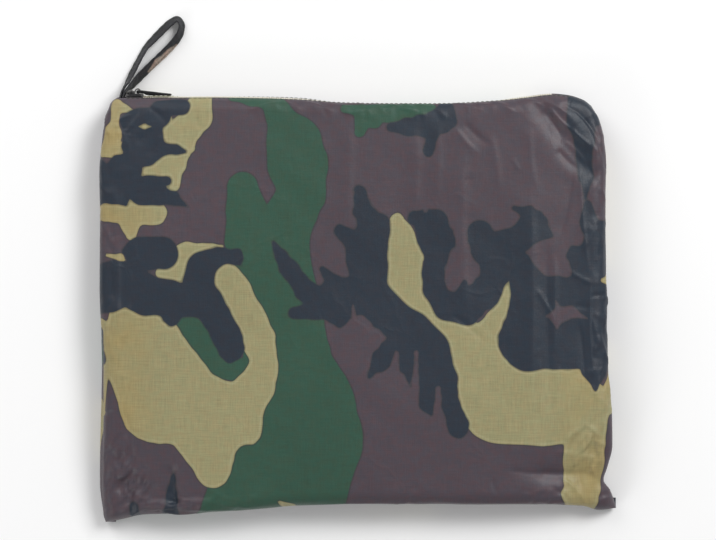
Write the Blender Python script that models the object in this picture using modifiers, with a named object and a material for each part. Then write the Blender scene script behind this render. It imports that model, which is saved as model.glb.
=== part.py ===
"""A rain poncho folded into its own flat zip pouch, lying on its back panel.

The pouch is two cloth panels sewn together along the sides and the bottom, with a coil zip between
their top edges. +X runs along the zip towards its closed-in end, +Y from the bottom seam to the zip,
+Z from the back panel to the front panel. The back panel rests on z = 0.
Sizes and tables are in millimetres, and MM turns them into Blender's metres.
"""

import math
from collections import namedtuple

import bmesh
import bpy
import numpy as np
from mathutils import Matrix, Vector

MM = 0.001

# ---- cloth
PANEL_WALL = 1.0
SEAM_EDGE = 0.3          # a panel's edge from the middle of the seam, or of the closed zip's ends
SIDE_ROUND = 9.0         # how far in from the outline the front reaches its full height
BASE_ROUND = 8.0         # how far in from the outline the back lies flat
EDGE_HEIGHT = 27.0       # top of the filled pouch just inside its rounded edge
CROWN_RISE = 3.0         # how much higher its middle is
CROWN_POWER = 2.5
CORNER_DROPS = (10.0, 12.0, 3.0, 3.5)   # the top's fall at bottom left, bottom right, top left, top right
CORNER_REACH = (46.0, 40.0, 30.0, 34.0)
NEAR_BODY = (330.0, 268.0)   # the pouch's width and height, for turning a fraction into a distance

# ---- zip
ZIP_HEIGHT = 14.0        # the chain's middle above the surface
ZIP_TILT = math.radians(7.0)
ZIP_START, ZIP_END = -149.9, 130.0
TAPE_SETBACK = 2.0       # tape face behind the panels' turned edges
TAPE_WALL = 1.0
TAPE_INNER, TAPE_OUTER = 1.1, 7.3
CHAIN_HALF = 3.0
CHAIN_FACE = (0.3, 2.5)  # from the tape's face outwards

# ---- slider and pull, in the zip's own directions: along, outwards, across
PIVOT_X = -142.7
PIVOT_OUT = 5.5
SLIDER_ENDS = (-7.5, 3.5)    # from the pivot, along the zip
PLATE_OUT = (2.9, 4.2)
PLATE_HALF = 4.7
FLANGE_WALL = 1.3
INNER_PLATE_OUT = (-2.6, -1.4)
NECK_ENDS = (-7.0, -4.6)
NECK_HALF = 0.8
BRIDGE_INNER, BRIDGE_OUTER, BRIDGE_HALF = 1.25, 2.2, 0.8
PULL_LENGTH = 22.0
PULL_HALF = 3.0
PULL_WALL = 1.3
PULL_BAR_HALF = 0.65
PULL_WINDOW = (0.65, 4.0, 1.5)   # start, end and half width
PULL_REST = math.radians(5.2)    # the pull slopes down onto the chain

# ---- wrist loop
STRAP_WIDTH = 7.0
STRAP_WALL = 1.3

# ---- folded poncho
CORE_INSET = 7.0
CORE_ZIP_INSET = 11.5
CORE_CLEARANCE = 3.4     # under the front's outer face, folds included
CORE_BASE_GAP = 1.2      # over the back's inner face
CORE_LAYERS = 6
CORE_SWELL = 2.4
CORE_GROOVE = 1.0

# One row for each place where a side turns. along is y on the left and right sides and x on the
# bottom; out is the other plan coordinate of the seam; height is the seam's z, and edge is each
# panel's distance from it; front_roll and back_roll are how strongly the panels roll out past it.
SeamRow = namedtuple("SeamRow", "along out height edge front_roll back_roll")
LEFT_SEAM = (
    SeamRow(-165.1, -164.3, 4.0, 1.5, 0.0, 0.0),
    SeamRow(-159.0, -165.6, 6.5, 0.9, 0.0, 1.6),
    SeamRow(-143.0, -165.6, 12.0, 0.3, 0.5, 4.0),
    SeamRow(-116.0, -165.0, 15.5, 0.3, 0.5, 4.6),
    SeamRow(-66.0, -164.4, 16.0, 0.3, 0.6, 3.8),
    SeamRow(-20.0, -166.0, 14.5, 0.3, 2.0, 2.4),
    SeamRow(58.0, -166.4, 13.5, 0.3, 2.0, 2.0),
    SeamRow(84.0, -164.6, 13.5, 0.3, 1.6, 1.6),
    SeamRow(97.0, -163.0, 13.8, 0.3, 1.2, 1.2),
    SeamRow(107.0, -160.9, 14.0, 0.3, 0.0, 0.0),
)
RIGHT_SEAM = (
    SeamRow(-155.9, 168.7, 4.0, 1.5, 0.0, 0.0),
    SeamRow(-151.0, 167.4, 4.8, 0.9, 0.0, 0.4),
    SeamRow(-143.7, 164.2, 7.0, 0.3, 0.6, 1.0),
    SeamRow(-137.2, 160.0, 9.5, 0.3, 0.6, 1.0),
    SeamRow(-128.7, 161.8, 11.5, 0.3, 1.6, 1.6),
    SeamRow(-114.4, 164.2, 12.5, 0.3, 2.4, 2.0),
    SeamRow(-98.0, 163.9, 12.8, 0.3, 2.4, 2.0),
    SeamRow(-66.0, 161.7, 13.0, 0.3, 2.2, 1.8),
    SeamRow(38.0, 160.0, 13.0, 0.3, 2.0, 1.8),
    SeamRow(68.0, 160.2, 13.0, 0.3, 2.0, 1.8),
    SeamRow(84.0, 159.0, 13.2, 0.3, 1.6, 1.6),
    SeamRow(97.0, 156.2, 13.6, 0.3, 1.2, 1.2),
    SeamRow(106.0, 151.8, 14.0, 0.3, 0.0, 0.0),
)
BOTTOM_SEAM = (
    SeamRow(-164.3, -165.1, 4.0, 1.5, 0.0, 0.0),
    SeamRow(-151.0, -162.3, 6.0, 0.6, 0.2, 0.2),
    SeamRow(-138.0, -159.3, 9.0, 0.3, 0.8, 0.8),
    SeamRow(-109.0, -158.0, 12.0, 0.3, 1.6, 1.6),
    SeamRow(-76.0, -156.0, 13.0, 0.3, 1.8, 1.8),
    SeamRow(-40.0, -153.0, 13.0, 0.3, 1.8, 1.8),
    SeamRow(-5.0, -151.8, 13.0, 0.3, 1.8, 1.8),
    SeamRow(118.0, -151.8, 12.6, 0.3, 1.8, 1.8),
    SeamRow(146.0, -153.8, 9.0, 0.3, 1.0, 1.0),
    SeamRow(158.0, -157.0, 5.5, 0.9, 0.2, 0.2),
    SeamRow(168.7, -155.9, 4.0, 1.5, 0.0, 0.0),
)

# along is x; out is y of the zip's middle line; gap is half the opening between the turned edges;
# roll is how strongly the front panel rolls out over the zip.
ZipRow = namedtuple("ZipRow", "along out gap roll")
ZIP_LINE = (
    ZipRow(-160.9, 107.0, 0.0, 0.0),
    ZipRow(-158.4, 109.8, 3.6, 0.0),
    ZipRow(-155.6, 111.2, 5.8, 0.0),
    ZipRow(-99.0, 111.8, 5.8, 0.0),
    ZipRow(-60.0, 111.2, 5.8, 0.3),
    ZipRow(-37.0, 110.2, 5.8, 0.8),
    ZipRow(-11.0, 107.6, 5.8, 1.8),
    ZipRow(21.0, 106.2, 5.8, 3.0),
    ZipRow(54.0, 106.2, 5.8, 3.0),
    ZipRow(86.0, 108.6, 5.8, 1.6),
    ZipRow(109.0, 111.6, 5.8, 0.2),
    ZipRow(127.0, 113.6, 5.8, 0.0),
    ZipRow(136.0, 112.9, 5.8, 0.0),
    ZipRow(146.0, 110.2, 3.0, 0.0),
    ZipRow(151.8, 106.0, 0.0, 0.0),
)

# The largest folds of the front: a soft ridge (depth above 0) or trough (below 0) along a line.
FoldRow = namedtuple("FoldRow", "x0 y0 x1 y1 width depth")
FRONT_FOLDS = (
    FoldRow(118.0, 104.0, 150.0, 62.0, 6.0, -1.6),
    FoldRow(132.0, 106.0, 158.0, 70.0, 5.0, 1.2),
    FoldRow(122.0, -132.0, 148.0, -133.0, 5.0, -1.8),
    FoldRow(-140.0, -150.0, -98.0, -157.0, 5.0, 1.4),
    FoldRow(-120.0, -131.0, -119.0, -152.0, 5.0, -1.6),
    FoldRow(-158.0, -138.0, -118.0, -150.0, 6.0, -1.4),
    FoldRow(110.0, 40.0, 112.0, -110.0, 14.0, 0.8),
    FoldRow(34.0, 60.0, 30.0, -60.0, 18.0, -0.7),
)

# The strap's middle line from the pouch, out round the loop and back. z is its middle, and tilt is
# the angle of its width above the surface, leaning in over the opening.
StrapRow = namedtuple("StrapRow", "x y z tilt")
STRAP_ROUTE = (
    StrapRow(-154.5, 107.6, 13.2, 90.0),
    StrapRow(-154.0, 111.8, 12.9, 90.0),
    StrapRow(-152.6, 116.5, 10.4, 88.0),
    StrapRow(-150.3, 121.1, 7.4, 84.0),
    StrapRow(-147.2, 127.7, 5.1, 77.0),
    StrapRow(-143.1, 135.9, 4.3, 71.0),
    StrapRow(-138.5, 144.2, 3.8, 60.0),
    StrapRow(-135.3, 147.9, 3.5, 53.0),
    StrapRow(-127.5, 155.9, 3.3, 46.0),
    StrapRow(-121.7, 161.3, 3.3, 50.0),
    StrapRow(-117.7, 163.2, 3.6, 60.0),
    StrapRow(-115.2, 160.4, 3.7, 64.0),
    StrapRow(-115.4, 155.4, 3.7, 62.0),
    StrapRow(-118.4, 149.9, 3.5, 54.0),
    StrapRow(-123.6, 143.9, 3.4, 52.0),
    StrapRow(-129.5, 138.1, 3.5, 53.0),
    StrapRow(-136.0, 131.9, 3.8, 55.0),
    StrapRow(-142.6, 125.2, 4.6, 60.0),
    StrapRow(-147.6, 119.4, 7.4, 75.0),
    StrapRow(-151.0, 115.2, 10.6, 90.0),
    StrapRow(-152.2, 111.8, 12.9, 90.0),
    StrapRow(-152.6, 107.6, 13.2, 90.0),
)

# base colour and roughness of each cloth and fitting
FINISHES = {
    "camouflage_cloth": ((0.16, 0.17, 0.12, 1.0), 0.55, 0.0),
    "folded_cloth": ((0.10, 0.08, 0.09, 1.0), 0.6, 0.0),
    "zip_tape": ((0.62, 0.58, 0.46, 1.0), 0.8, 0.0),
    "zip_coil": ((0.66, 0.62, 0.50, 1.0), 0.45, 0.0),
    "black_enamel": ((0.012, 0.012, 0.014, 1.0), 0.3, 0.4),
}


def smooth_through(table, column, at):
    """A smooth curve through one column of a table, with no overshoot between its rows."""
    along = np.array([row.along for row in table])
    value = np.array([getattr(row, column) for row in table])
    step = np.diff(along)
    slope = np.diff(value) / step
    tangent = np.zeros(len(along))
    tangent[0], tangent[-1] = slope[0], slope[-1]
    same_way = slope[:-1] * slope[1:] > 0
    both = np.where(same_way, slope[:-1] + slope[1:], 1.0)
    tangent[1:-1] = np.where(same_way, 2.0 * slope[:-1] * slope[1:] / both, 0.0)
    cell = np.clip(np.searchsorted(along, at) - 1, 0, len(step) - 1)
    t = np.clip((at - along[cell]) / step[cell], 0.0, 1.0)
    start = (2 * t**3 - 3 * t**2 + 1) * value[cell] + (t**3 - 2 * t**2 + t) * step[cell] * tangent[cell]
    end = (3 * t**2 - 2 * t**3) * value[cell + 1] + (t**3 - t**2) * step[cell] * tangent[cell + 1]
    return start + end


def side_curve(table, fraction, side):
    """Points of a panel's edge at a seam: side 1 is the front's, -1 the back's."""
    along = table[0].along + (table[-1].along - table[0].along) * fraction
    out = smooth_through(table, "out", along)
    height = smooth_through(table, "height", along) + side * smooth_through(table, "edge", along)
    if table is BOTTOM_SEAM:
        return np.stack([along, out, height], axis=-1)
    return np.stack([out, along, height], axis=-1)


def zip_curve(fraction, side):
    """Points of a panel's turned edge at the zip: side 1 is the front's, -1 the back's."""
    along = ZIP_LINE[0].along + (ZIP_LINE[-1].along - ZIP_LINE[0].along) * fraction
    gap = np.maximum(smooth_through(ZIP_LINE, "gap", along), SEAM_EDGE) * side
    out = smooth_through(ZIP_LINE, "out", along) - gap * math.sin(ZIP_TILT)
    height = ZIP_HEIGHT + gap * math.cos(ZIP_TILT)
    return np.stack([along, out, height], axis=-1)


def turn_at(fraction, length, round_):
    """How far round a side's quarter turn a point is, 0 at the seam to a quarter turn inside.

    The turn's plan distance from the seam is round_ times (1 - cos turn).
    """
    inset = np.minimum(fraction, 1.0 - fraction) * length
    return np.arccos(np.clip(1.0 - inset / round_, 0.0, 1.0))


def panel_points(across, up, front, folded=True):
    """The outer face of a panel at fractions across (left to right) and up (bottom to zip).

    Four side curves span a smooth patch. Inside them the front rises to the crown, and the back
    falls to the surface, by the sine of the turn, and each side rolls out by the sine of twice it.
    """
    side = 1 if front else -1
    left, right = side_curve(LEFT_SEAM, up, side), side_curve(RIGHT_SEAM, up, side)
    bottom, top = side_curve(BOTTOM_SEAM, across, side), zip_curve(across, side)
    u, v = across[..., None], up[..., None]
    corner = {}
    for name, fraction in (("start", np.zeros(1)), ("end", np.ones(1))):
        corner["bottom", name] = side_curve(BOTTOM_SEAM, fraction, side)[0]
        corner["top", name] = zip_curve(fraction, side)[0]
    base = (1 - u) * left + u * right + (1 - v) * bottom + v * top
    base -= (1 - u) * (1 - v) * corner["bottom", "start"] + u * (1 - v) * corner["bottom", "end"]
    base -= (1 - u) * v * corner["top", "start"] + u * v * corner["top", "end"]

    round_ = SIDE_ROUND if front else BASE_ROUND
    turn_x = turn_at(across, NEAR_BODY[0], round_)
    turn_y = turn_at(up, NEAR_BODY[1], round_)
    rise = np.sin(turn_x) * np.sin(turn_y)
    roll = "front_roll" if front else "back_roll"
    roll_left = smooth_through(LEFT_SEAM, roll, left[..., 1])
    roll_right = smooth_through(RIGHT_SEAM, roll, right[..., 1])
    roll_bottom = smooth_through(BOTTOM_SEAM, roll, bottom[..., 0])
    roll_top = smooth_through(ZIP_LINE, "roll", top[..., 0]) if front else 0.0
    swell_x = np.sin(2 * turn_x) * np.sin(turn_y)
    swell_y = np.sin(2 * turn_y) * np.sin(turn_x)
    x = base[..., 0] + swell_x * np.where(across < 0.5, -roll_left, roll_right)
    y = base[..., 1] + swell_y * np.where(up < 0.5, -roll_bottom, roll_top)
    if not front:
        return np.stack([x, y, base[..., 2] * (1 - rise)], axis=-1)
    middle = (1 - np.abs(2 * across - 1) ** CROWN_POWER) * (1 - np.abs(2 * up - 1) ** CROWN_POWER)
    crown = EDGE_HEIGHT + CROWN_RISE * middle
    for i, (drop, reach) in enumerate(zip(CORNER_DROPS, CORNER_REACH)):
        off_x = (across - i % 2) * NEAR_BODY[0] / reach
        off_y = (up - i // 2) * NEAR_BODY[1] / reach
        crown -= drop * np.exp(-(off_x**2) - off_y**2)
    z = base[..., 2] + (crown - base[..., 2]) * rise
    if folded:
        z += rise * fold_height(x, y)
    return np.stack([x, y, z], axis=-1)


def fold_height(x, y):
    """The sum of the folds: each a bell across its line that fades out past the line's ends."""
    total = np.zeros_like(x)
    for fold in FRONT_FOLDS:
        run = np.array([fold.x1 - fold.x0, fold.y1 - fold.y0])
        length = np.hypot(*run)
        run = run / length
        along = (x - fold.x0) * run[0] + (y - fold.y0) * run[1]
        beside = (y - fold.y0) * run[0] - (x - fold.x0) * run[1]
        past = along - np.clip(along, 0.0, length)
        total += fold.depth * np.exp(-(beside**2 + past**2) / fold.width**2)
    return total


def stations(length, round_, edge_steps, middle_steps):
    """Fractions of a side: even steps of turn at both ends and even steps between."""
    turn = np.linspace(0.0, math.pi / 2, edge_steps + 1)
    near = round_ * (1 - np.cos(turn)) / length
    middle = np.linspace(near[-1], 1 - near[-1], middle_steps + 1)[1:-1]
    return np.concatenate([near, middle, 1 - near[::-1]])


def finish(name):
    """The material of a piece, made once."""
    material = bpy.data.materials.get(name)
    if material:
        return material
    colour, roughness, metallic = FINISHES[name]
    material = bpy.data.materials.new(name)
    material.use_nodes = True
    shader = material.node_tree.nodes["Principled BSDF"]
    shader.inputs["Base Color"].default_value = colour
    shader.inputs["Roughness"].default_value = roughness
    shader.inputs["Metallic"].default_value = metallic
    return material


def link_object(name, data, collection, material_name):
    """An object in the collection, with its material."""
    thing = bpy.data.objects.new(name, data)
    collection.objects.link(thing)
    thing.data.materials.append(finish(material_name))
    return thing


def grid_faces(rows, columns):
    """The quads of a rows by columns grid of points numbered row by row."""
    row, column = np.meshgrid(np.arange(rows - 1), np.arange(columns - 1), indexing="ij")
    first = (row * columns + column).ravel()
    return np.stack([first, first + columns, first + columns + 1, first + 1], axis=-1)


def add_panel(name, front, edge_steps, middle_steps, collection):
    """A panel: its outer face as an open grid, with a Solidify wall on the inside."""
    round_ = SIDE_ROUND if front else BASE_ROUND
    across = stations(NEAR_BODY[0], round_, edge_steps, middle_steps[0])
    up = stations(NEAR_BODY[1], round_, edge_steps, middle_steps[1])
    points = panel_points(*np.meshgrid(across, up, indexing="ij"), front)
    faces = grid_faces(len(across), len(up))
    if not front:
        faces = faces[:, ::-1]
    mesh = bpy.data.meshes.new(name)
    mesh.from_pydata((points.reshape(-1, 3) * MM).tolist(), [], faces.tolist())
    mesh.shade_smooth()
    panel = link_object(name, mesh, collection, "camouflage_cloth")
    wall = panel.modifiers.new("cloth wall", "SOLIDIFY")
    wall.thickness = PANEL_WALL * MM
    wall.offset = -1.0
    return panel


def add_loft(name, rings, collection, material_name):
    """A closed body through rings of points, each ring running the same way round."""
    size = rings.shape[1]
    body = bmesh.new()
    made = [[body.verts.new(Vector(point) * MM) for point in ring] for ring in rings.tolist()]
    for ring, following in zip(made[:-1], made[1:]):
        for i in range(size):
            j = (i + 1) % size
            body.faces.new((ring[i], ring[j], following[j], following[i]))
    body.faces.new(made[0][::-1])
    body.faces.new(made[-1])
    bmesh.ops.recalc_face_normals(body, faces=body.faces[:])
    mesh = bpy.data.meshes.new(name)
    body.to_mesh(mesh)
    body.free()
    return link_object(name, mesh, collection, material_name)


def add_folded_poncho(collection):
    """The folded garment: the pouch's own form less a clearance, with layered sides.

    Each layer's edge is a ridge between two grooves, and the whole side swells at mid height.
    """
    across = np.linspace(CORE_INSET / NEAR_BODY[0], 1 - CORE_INSET / NEAR_BODY[0], 15)
    up = np.linspace(CORE_INSET / NEAR_BODY[1], 1 - CORE_ZIP_INSET / NEAR_BODY[1], 13)
    grid = np.meshgrid(across, up, indexing="ij")
    top = panel_points(*grid, True, folded=False)
    bottom = panel_points(*grid, False)
    bottom[..., :2] = top[..., :2]
    top[..., 2] -= CORE_CLEARANCE
    bottom[..., 2] += PANEL_WALL + CORE_BASE_GAP

    def rim(points):
        return np.concatenate([points[:-1, 0], points[-1, :-1], points[:0:-1, -1], points[0, :0:-1]])

    top_rim, bottom_rim = rim(top), rim(bottom)
    run = np.roll(top_rim, -1, axis=0) - np.roll(top_rim, 1, axis=0)
    outward = np.stack([run[:, 1], -run[:, 0]], axis=-1)
    outward /= np.linalg.norm(outward, axis=1, keepdims=True)
    steps = 2 * CORE_LAYERS
    body = bmesh.new()

    def add_points(points):
        return [body.verts.new(Vector(point) * MM) for point in points.tolist()]

    grids = []
    for points, flip in ((top, False), (bottom, True)):
        made = add_points(points.reshape(-1, 3))
        for a, b, c, d in grid_faces(*points.shape[:2]).tolist():
            corners = (made[a], made[b], made[c], made[d])
            body.faces.new(corners if flip else corners[::-1])
        index = np.arange(len(made)).reshape(points.shape[:2])
        grids.append([made[i] for i in rim(index)])
    above = grids[0]
    for step in range(1, steps + 1):
        w = step / steps
        if step == steps:
            below = grids[1]
        else:
            ridge = abs(math.sin(math.pi * CORE_LAYERS * w))
            out = CORE_SWELL * math.sin(math.pi * w) - CORE_GROOVE * (1 - ridge)
            points = top_rim * (1 - w) + bottom_rim * w
            points[:, :2] += outward * out
            below = add_points(points)
        for i in range(len(above)):
            j = (i + 1) % len(above)
            body.faces.new((above[i], below[i], below[j], above[j]))
        above = below
    bmesh.ops.recalc_face_normals(body, faces=body.faces[:])
    mesh = bpy.data.meshes.new("folded_poncho")
    body.to_mesh(mesh)
    body.free()
    return link_object("folded_poncho", mesh, collection, "folded_cloth")


def zip_strip(x_ends, across_ends, out_ends, steps):
    """Rings of a flat strip along the zip: across and out are measured from the zip's middle line."""
    x = np.linspace(*x_ends, steps + 1)
    line = smooth_through(ZIP_LINE, "out", x) - TAPE_SETBACK * math.cos(ZIP_TILT)
    corners = [(across_ends[0], out_ends[0]), (across_ends[1], out_ends[0]),
               (across_ends[1], out_ends[1]), (across_ends[0], out_ends[1])]
    ring = []
    for across, out in corners:
        y = line + out * math.cos(ZIP_TILT) - across * math.sin(ZIP_TILT)
        z = ZIP_HEIGHT + out * math.sin(ZIP_TILT) + across * math.cos(ZIP_TILT)
        ring.append(np.stack([x, y, np.broadcast_to(z, x.shape)], axis=-1))
    return np.stack(ring, axis=1)


def add_zip(collection):
    """The two tapes and the closed chain of coils between them."""
    tape_face = (-TAPE_WALL, 0.0)
    x_ends = (ZIP_START, ZIP_END)
    front_tape = zip_strip(x_ends, (TAPE_INNER, TAPE_OUTER), tape_face, 30)
    back_tape = zip_strip(x_ends, (-TAPE_OUTER, -TAPE_INNER), tape_face, 30)
    chain_ends = (PIVOT_X + NECK_ENDS[1] + 0.4, ZIP_END)
    chain = zip_strip(chain_ends, (-CHAIN_HALF, CHAIN_HALF), CHAIN_FACE, 30)
    add_loft("zip_tape_front", front_tape, collection, "zip_tape")
    add_loft("zip_tape_back", back_tape, collection, "zip_tape")
    add_loft("zip_chain", chain, collection, "zip_coil")


def add_wrist_loop(collection):
    """The strap: a flat band along its route, its width leaning in by each row's tilt."""
    rows = np.array(STRAP_ROUTE)
    knots = np.arange(len(rows), dtype=float)
    at = np.linspace(0.0, len(rows) - 1, 3 * (len(rows) - 1) + 1)
    cell = np.clip(at.astype(int), 0, len(rows) - 2)
    t = (at - knots[cell])[:, None]
    before = rows[np.clip(cell - 1, 0, None)]
    after = rows[np.clip(cell + 2, None, len(rows) - 1)]
    start, end = rows[cell], rows[cell + 1]
    rising, falling = (end - before) / 2, (after - start) / 2
    route = (2 * t**3 - 3 * t**2 + 1) * start + (t**3 - 2 * t**2 + t) * rising
    route += (3 * t**2 - 2 * t**3) * end + (t**3 - t**2) * falling
    middle, tilt = route[:, :3], np.radians(route[:, 3:4])
    run = np.gradient(middle, axis=0)
    run /= np.linalg.norm(run, axis=1, keepdims=True)
    level = np.stack([run[:, 1], -run[:, 0], np.zeros(len(run))], axis=-1)
    level /= np.linalg.norm(level, axis=1, keepdims=True)
    upright = np.cross(level, run)
    wide = np.cos(tilt) * level + np.sin(tilt) * upright
    thick = np.cross(run, wide)
    corners = [(-1, -1), (1, -1), (1, 1), (-1, 1)]
    rings = [middle + wide * w * STRAP_WIDTH / 2 + thick * n * STRAP_WALL / 2 for w, n in corners]
    return add_loft("wrist_loop", np.stack(rings, axis=1), collection, "camouflage_cloth")


def add_box(name, along, out, across, collection, material_name):
    """A box from its two ends along, out from and across the zip."""
    ends = np.array([along, out, across])
    bpy.ops.mesh.primitive_cube_add(size=1.0)
    box = bpy.context.active_object
    box.name = name
    box.data.name = name
    box.data.transform(Matrix.Diagonal((*((ends[:, 1] - ends[:, 0]) * MM), 1.0)))
    box.data.transform(Matrix.Translation(Vector(ends.mean(axis=1)) * MM))
    for other in list(box.users_collection):
        other.objects.unlink(box)
    collection.objects.link(box)
    box.data.materials.append(finish(material_name))
    return box


def flat_plate(name, outlines, half, collection, material_name):
    """A plate of 2D outlines, the first its edge and the rest its windows, made a mesh."""
    curve = bpy.data.curves.new(name, "CURVE")
    curve.dimensions = "2D"
    curve.fill_mode = "BOTH"
    curve.extrude = half * MM
    for outline in outlines:
        spline = curve.splines.new("POLY")
        spline.points.add(len(outline) - 1)
        for point, (x, y) in zip(spline.points, outline):
            point.co = (x * MM, y * MM, 0.0, 1.0)
        spline.use_cyclic_u = True
    drawn = bpy.data.objects.new(name + "_outline", curve)
    collection.objects.link(drawn)
    bpy.context.view_layer.update()
    graph = bpy.context.evaluated_depsgraph_get()
    mesh = bpy.data.meshes.new_from_object(drawn.evaluated_get(graph))
    mesh.name = name
    bpy.data.objects.remove(drawn)
    body = bmesh.new()
    body.from_mesh(mesh)
    bmesh.ops.remove_doubles(body, verts=body.verts[:], dist=1e-6)
    body.to_mesh(mesh)
    body.free()
    return link_object(name, mesh, collection, material_name)


def arc(centre, radius, first, last, steps):
    """Points on a circle between two angles in degrees."""
    turns = np.radians(np.linspace(first, last, steps + 1))
    return [(centre[0] + radius * math.cos(t), centre[1] + radius * math.sin(t)) for t in turns]


def add_slider(zip_frame, collection, cutters):
    """The slider: outer plate, its two flanges, inner plate, the neck that joins them, the bridge."""
    black = "black_enamel"
    along = SLIDER_ENDS
    slider = add_box("slider", along, PLATE_OUT, (-PLATE_HALF, PLATE_HALF), collection, black)
    flange_out = (CHAIN_FACE[0], PLATE_OUT[1] - 0.2)
    neck_out = (INNER_PLATE_OUT[0] + 0.2, PLATE_OUT[0] + 0.2)
    flange = PLATE_HALF - FLANGE_WALL
    joined = [
        add_box("flange_front", along, flange_out, (flange, PLATE_HALF), cutters, black),
        add_box("flange_back", along, flange_out, (-PLATE_HALF, -flange), cutters, black),
        add_box("inner_plate", along, INNER_PLATE_OUT, (-flange, flange), cutters, black),
        add_box("neck", NECK_ENDS, neck_out, (-NECK_HALF, NECK_HALF), cutters, black),
    ]
    feet = PLATE_OUT[1] - 0.3
    outer = [(BRIDGE_OUTER, feet)] + arc((0.0, PIVOT_OUT), BRIDGE_OUTER, 0, 180, 16) + [(-BRIDGE_OUTER, feet)]
    inner = [(-BRIDGE_INNER, feet)] + arc((0.0, PIVOT_OUT), BRIDGE_INNER, 180, 0, 12) + [(BRIDGE_INNER, feet)]
    joined.append(flat_plate("bridge", [outer + inner], BRIDGE_HALF, cutters, black))
    for piece in joined:
        piece.hide_render = True
        piece.display_type = "WIRE"
        piece.parent = zip_frame
        union = slider.modifiers.new(piece.name, "BOOLEAN")
        union.operation = "UNION"
        union.object = piece
    slider.parent = zip_frame
    return slider


def add_pull_tab(pivot, collection):
    """The pull: a flat tab with a window, whose end bar lies under the slider's bridge."""
    start, end, half = PULL_WINDOW
    tip = PULL_LENGTH - PULL_HALF
    waist = 2.4
    edge = [(-PULL_BAR_HALF, -waist), (end + 1.0, -waist), (tip - 4.0, -PULL_HALF)]
    edge += arc((tip, 0.0), PULL_HALF, -90, 90, 12)
    edge += [(tip - 4.0, PULL_HALF), (end + 1.0, waist), (-PULL_BAR_HALF, waist)]
    window = [(start, -half), (start, half), (end, half), (end, -half)]
    tab = flat_plate("pull_tab", [edge, window], PULL_WALL / 2, collection, "black_enamel")
    tab.data.transform(Matrix.Rotation(math.radians(90.0), 4, "X"))
    tab.parent = pivot
    tab.rotation_euler = (0.0, 0.0, -PULL_REST)
    return tab


def add_empty(name, location, rotation, parent, collection):
    """An empty that holds a place and its directions."""
    empty = bpy.data.objects.new(name, None)
    empty.location = Vector(location) * MM
    empty.rotation_euler = rotation
    empty.parent = parent
    collection.objects.link(empty)
    return empty


def main():
    """Build the packed poncho."""
    for thing in list(bpy.data.objects):
        bpy.data.objects.remove(thing, do_unlink=True)
    parts = bpy.data.collections.new("packed_rain_poncho")
    cutters = bpy.data.collections.new("joined_shapes")
    for collection in (parts, cutters):
        bpy.context.scene.collection.children.link(collection)

    add_panel("front_panel", True, 5, (22, 18), parts)
    add_panel("back_panel", False, 4, (22, 12), parts)
    add_folded_poncho(parts)
    add_zip(parts)
    add_wrist_loop(parts)

    line = float(smooth_through(ZIP_LINE, "out", np.array([PIVOT_X]))[0])
    place = (PIVOT_X, line - TAPE_SETBACK * math.cos(ZIP_TILT), ZIP_HEIGHT)
    zip_frame = add_empty("zip_frame", place, (ZIP_TILT, 0.0, 0.0), None, parts)
    pivot = add_empty("pull_pivot", (0.0, PIVOT_OUT, 0.0), (0.0, 0.0, 0.0), zip_frame, parts)
    add_slider(zip_frame, parts, cutters)
    add_pull_tab(pivot, parts)


main()
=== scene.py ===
"""A rain poncho folded into its own flat zip pouch: its cloth, zip, strap and stitching.

Tables and sizes are in millimetres, and MM turns them into metres. +X runs along the zip towards
its closed-in end, +Y from the bottom seam to the zip, +Z from the back panel to the front panel.
"""

from __future__ import annotations

import logging
import math
from dataclasses import dataclass, field
from enum import Enum
from typing import NamedTuple, Sequence

import bmesh
import bpy
import numpy as np
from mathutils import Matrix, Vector

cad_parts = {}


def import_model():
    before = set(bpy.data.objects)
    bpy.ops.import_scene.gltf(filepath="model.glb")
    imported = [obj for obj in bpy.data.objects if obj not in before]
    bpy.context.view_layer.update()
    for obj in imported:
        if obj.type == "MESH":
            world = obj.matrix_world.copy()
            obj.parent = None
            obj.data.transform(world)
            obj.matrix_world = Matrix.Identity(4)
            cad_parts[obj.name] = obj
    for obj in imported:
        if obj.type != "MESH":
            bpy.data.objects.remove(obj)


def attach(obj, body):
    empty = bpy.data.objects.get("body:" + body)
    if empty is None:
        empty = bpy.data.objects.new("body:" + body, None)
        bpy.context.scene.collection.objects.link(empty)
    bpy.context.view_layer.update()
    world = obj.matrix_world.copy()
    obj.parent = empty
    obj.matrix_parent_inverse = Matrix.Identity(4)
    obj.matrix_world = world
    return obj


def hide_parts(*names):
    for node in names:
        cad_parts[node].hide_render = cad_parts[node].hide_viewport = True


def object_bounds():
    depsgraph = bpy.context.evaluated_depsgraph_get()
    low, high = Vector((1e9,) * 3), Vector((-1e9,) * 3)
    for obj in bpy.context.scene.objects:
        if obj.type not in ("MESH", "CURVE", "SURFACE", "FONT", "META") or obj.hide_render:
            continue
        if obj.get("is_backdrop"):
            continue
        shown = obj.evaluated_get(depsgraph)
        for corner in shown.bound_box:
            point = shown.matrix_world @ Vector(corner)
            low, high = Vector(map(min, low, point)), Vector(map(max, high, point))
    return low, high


LOG = logging.getLogger("packed_rain_poncho")
MM = 0.001
Colour = tuple[float, float, float]
Range = tuple[float, float]
Array = np.ndarray
Socket = bpy.types.NodeSocket


class SeamRow(NamedTuple):
    """A place on a side seam: where, how far out, its height, half the gap, and the rolls."""

    along: float
    out: float
    height: float
    edge: float
    front_roll: float
    back_roll: float


class ZipRow(NamedTuple):
    """A place on the zip: its middle line's x and y, half the opening, and each panel's roll."""

    along: float
    out: float
    gap: float
    front_roll: float
    back_roll: float


class FoldRow(NamedTuple):
    """A large fold of the front: a bell of this width and depth along a line."""

    x0: float
    y0: float
    x1: float
    y1: float
    width: float
    depth: float


class StrapRow(NamedTuple):
    """A place on the strap's middle line, and the lean of its width in degrees."""

    x: float
    y: float
    z: float
    tilt: float


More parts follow.
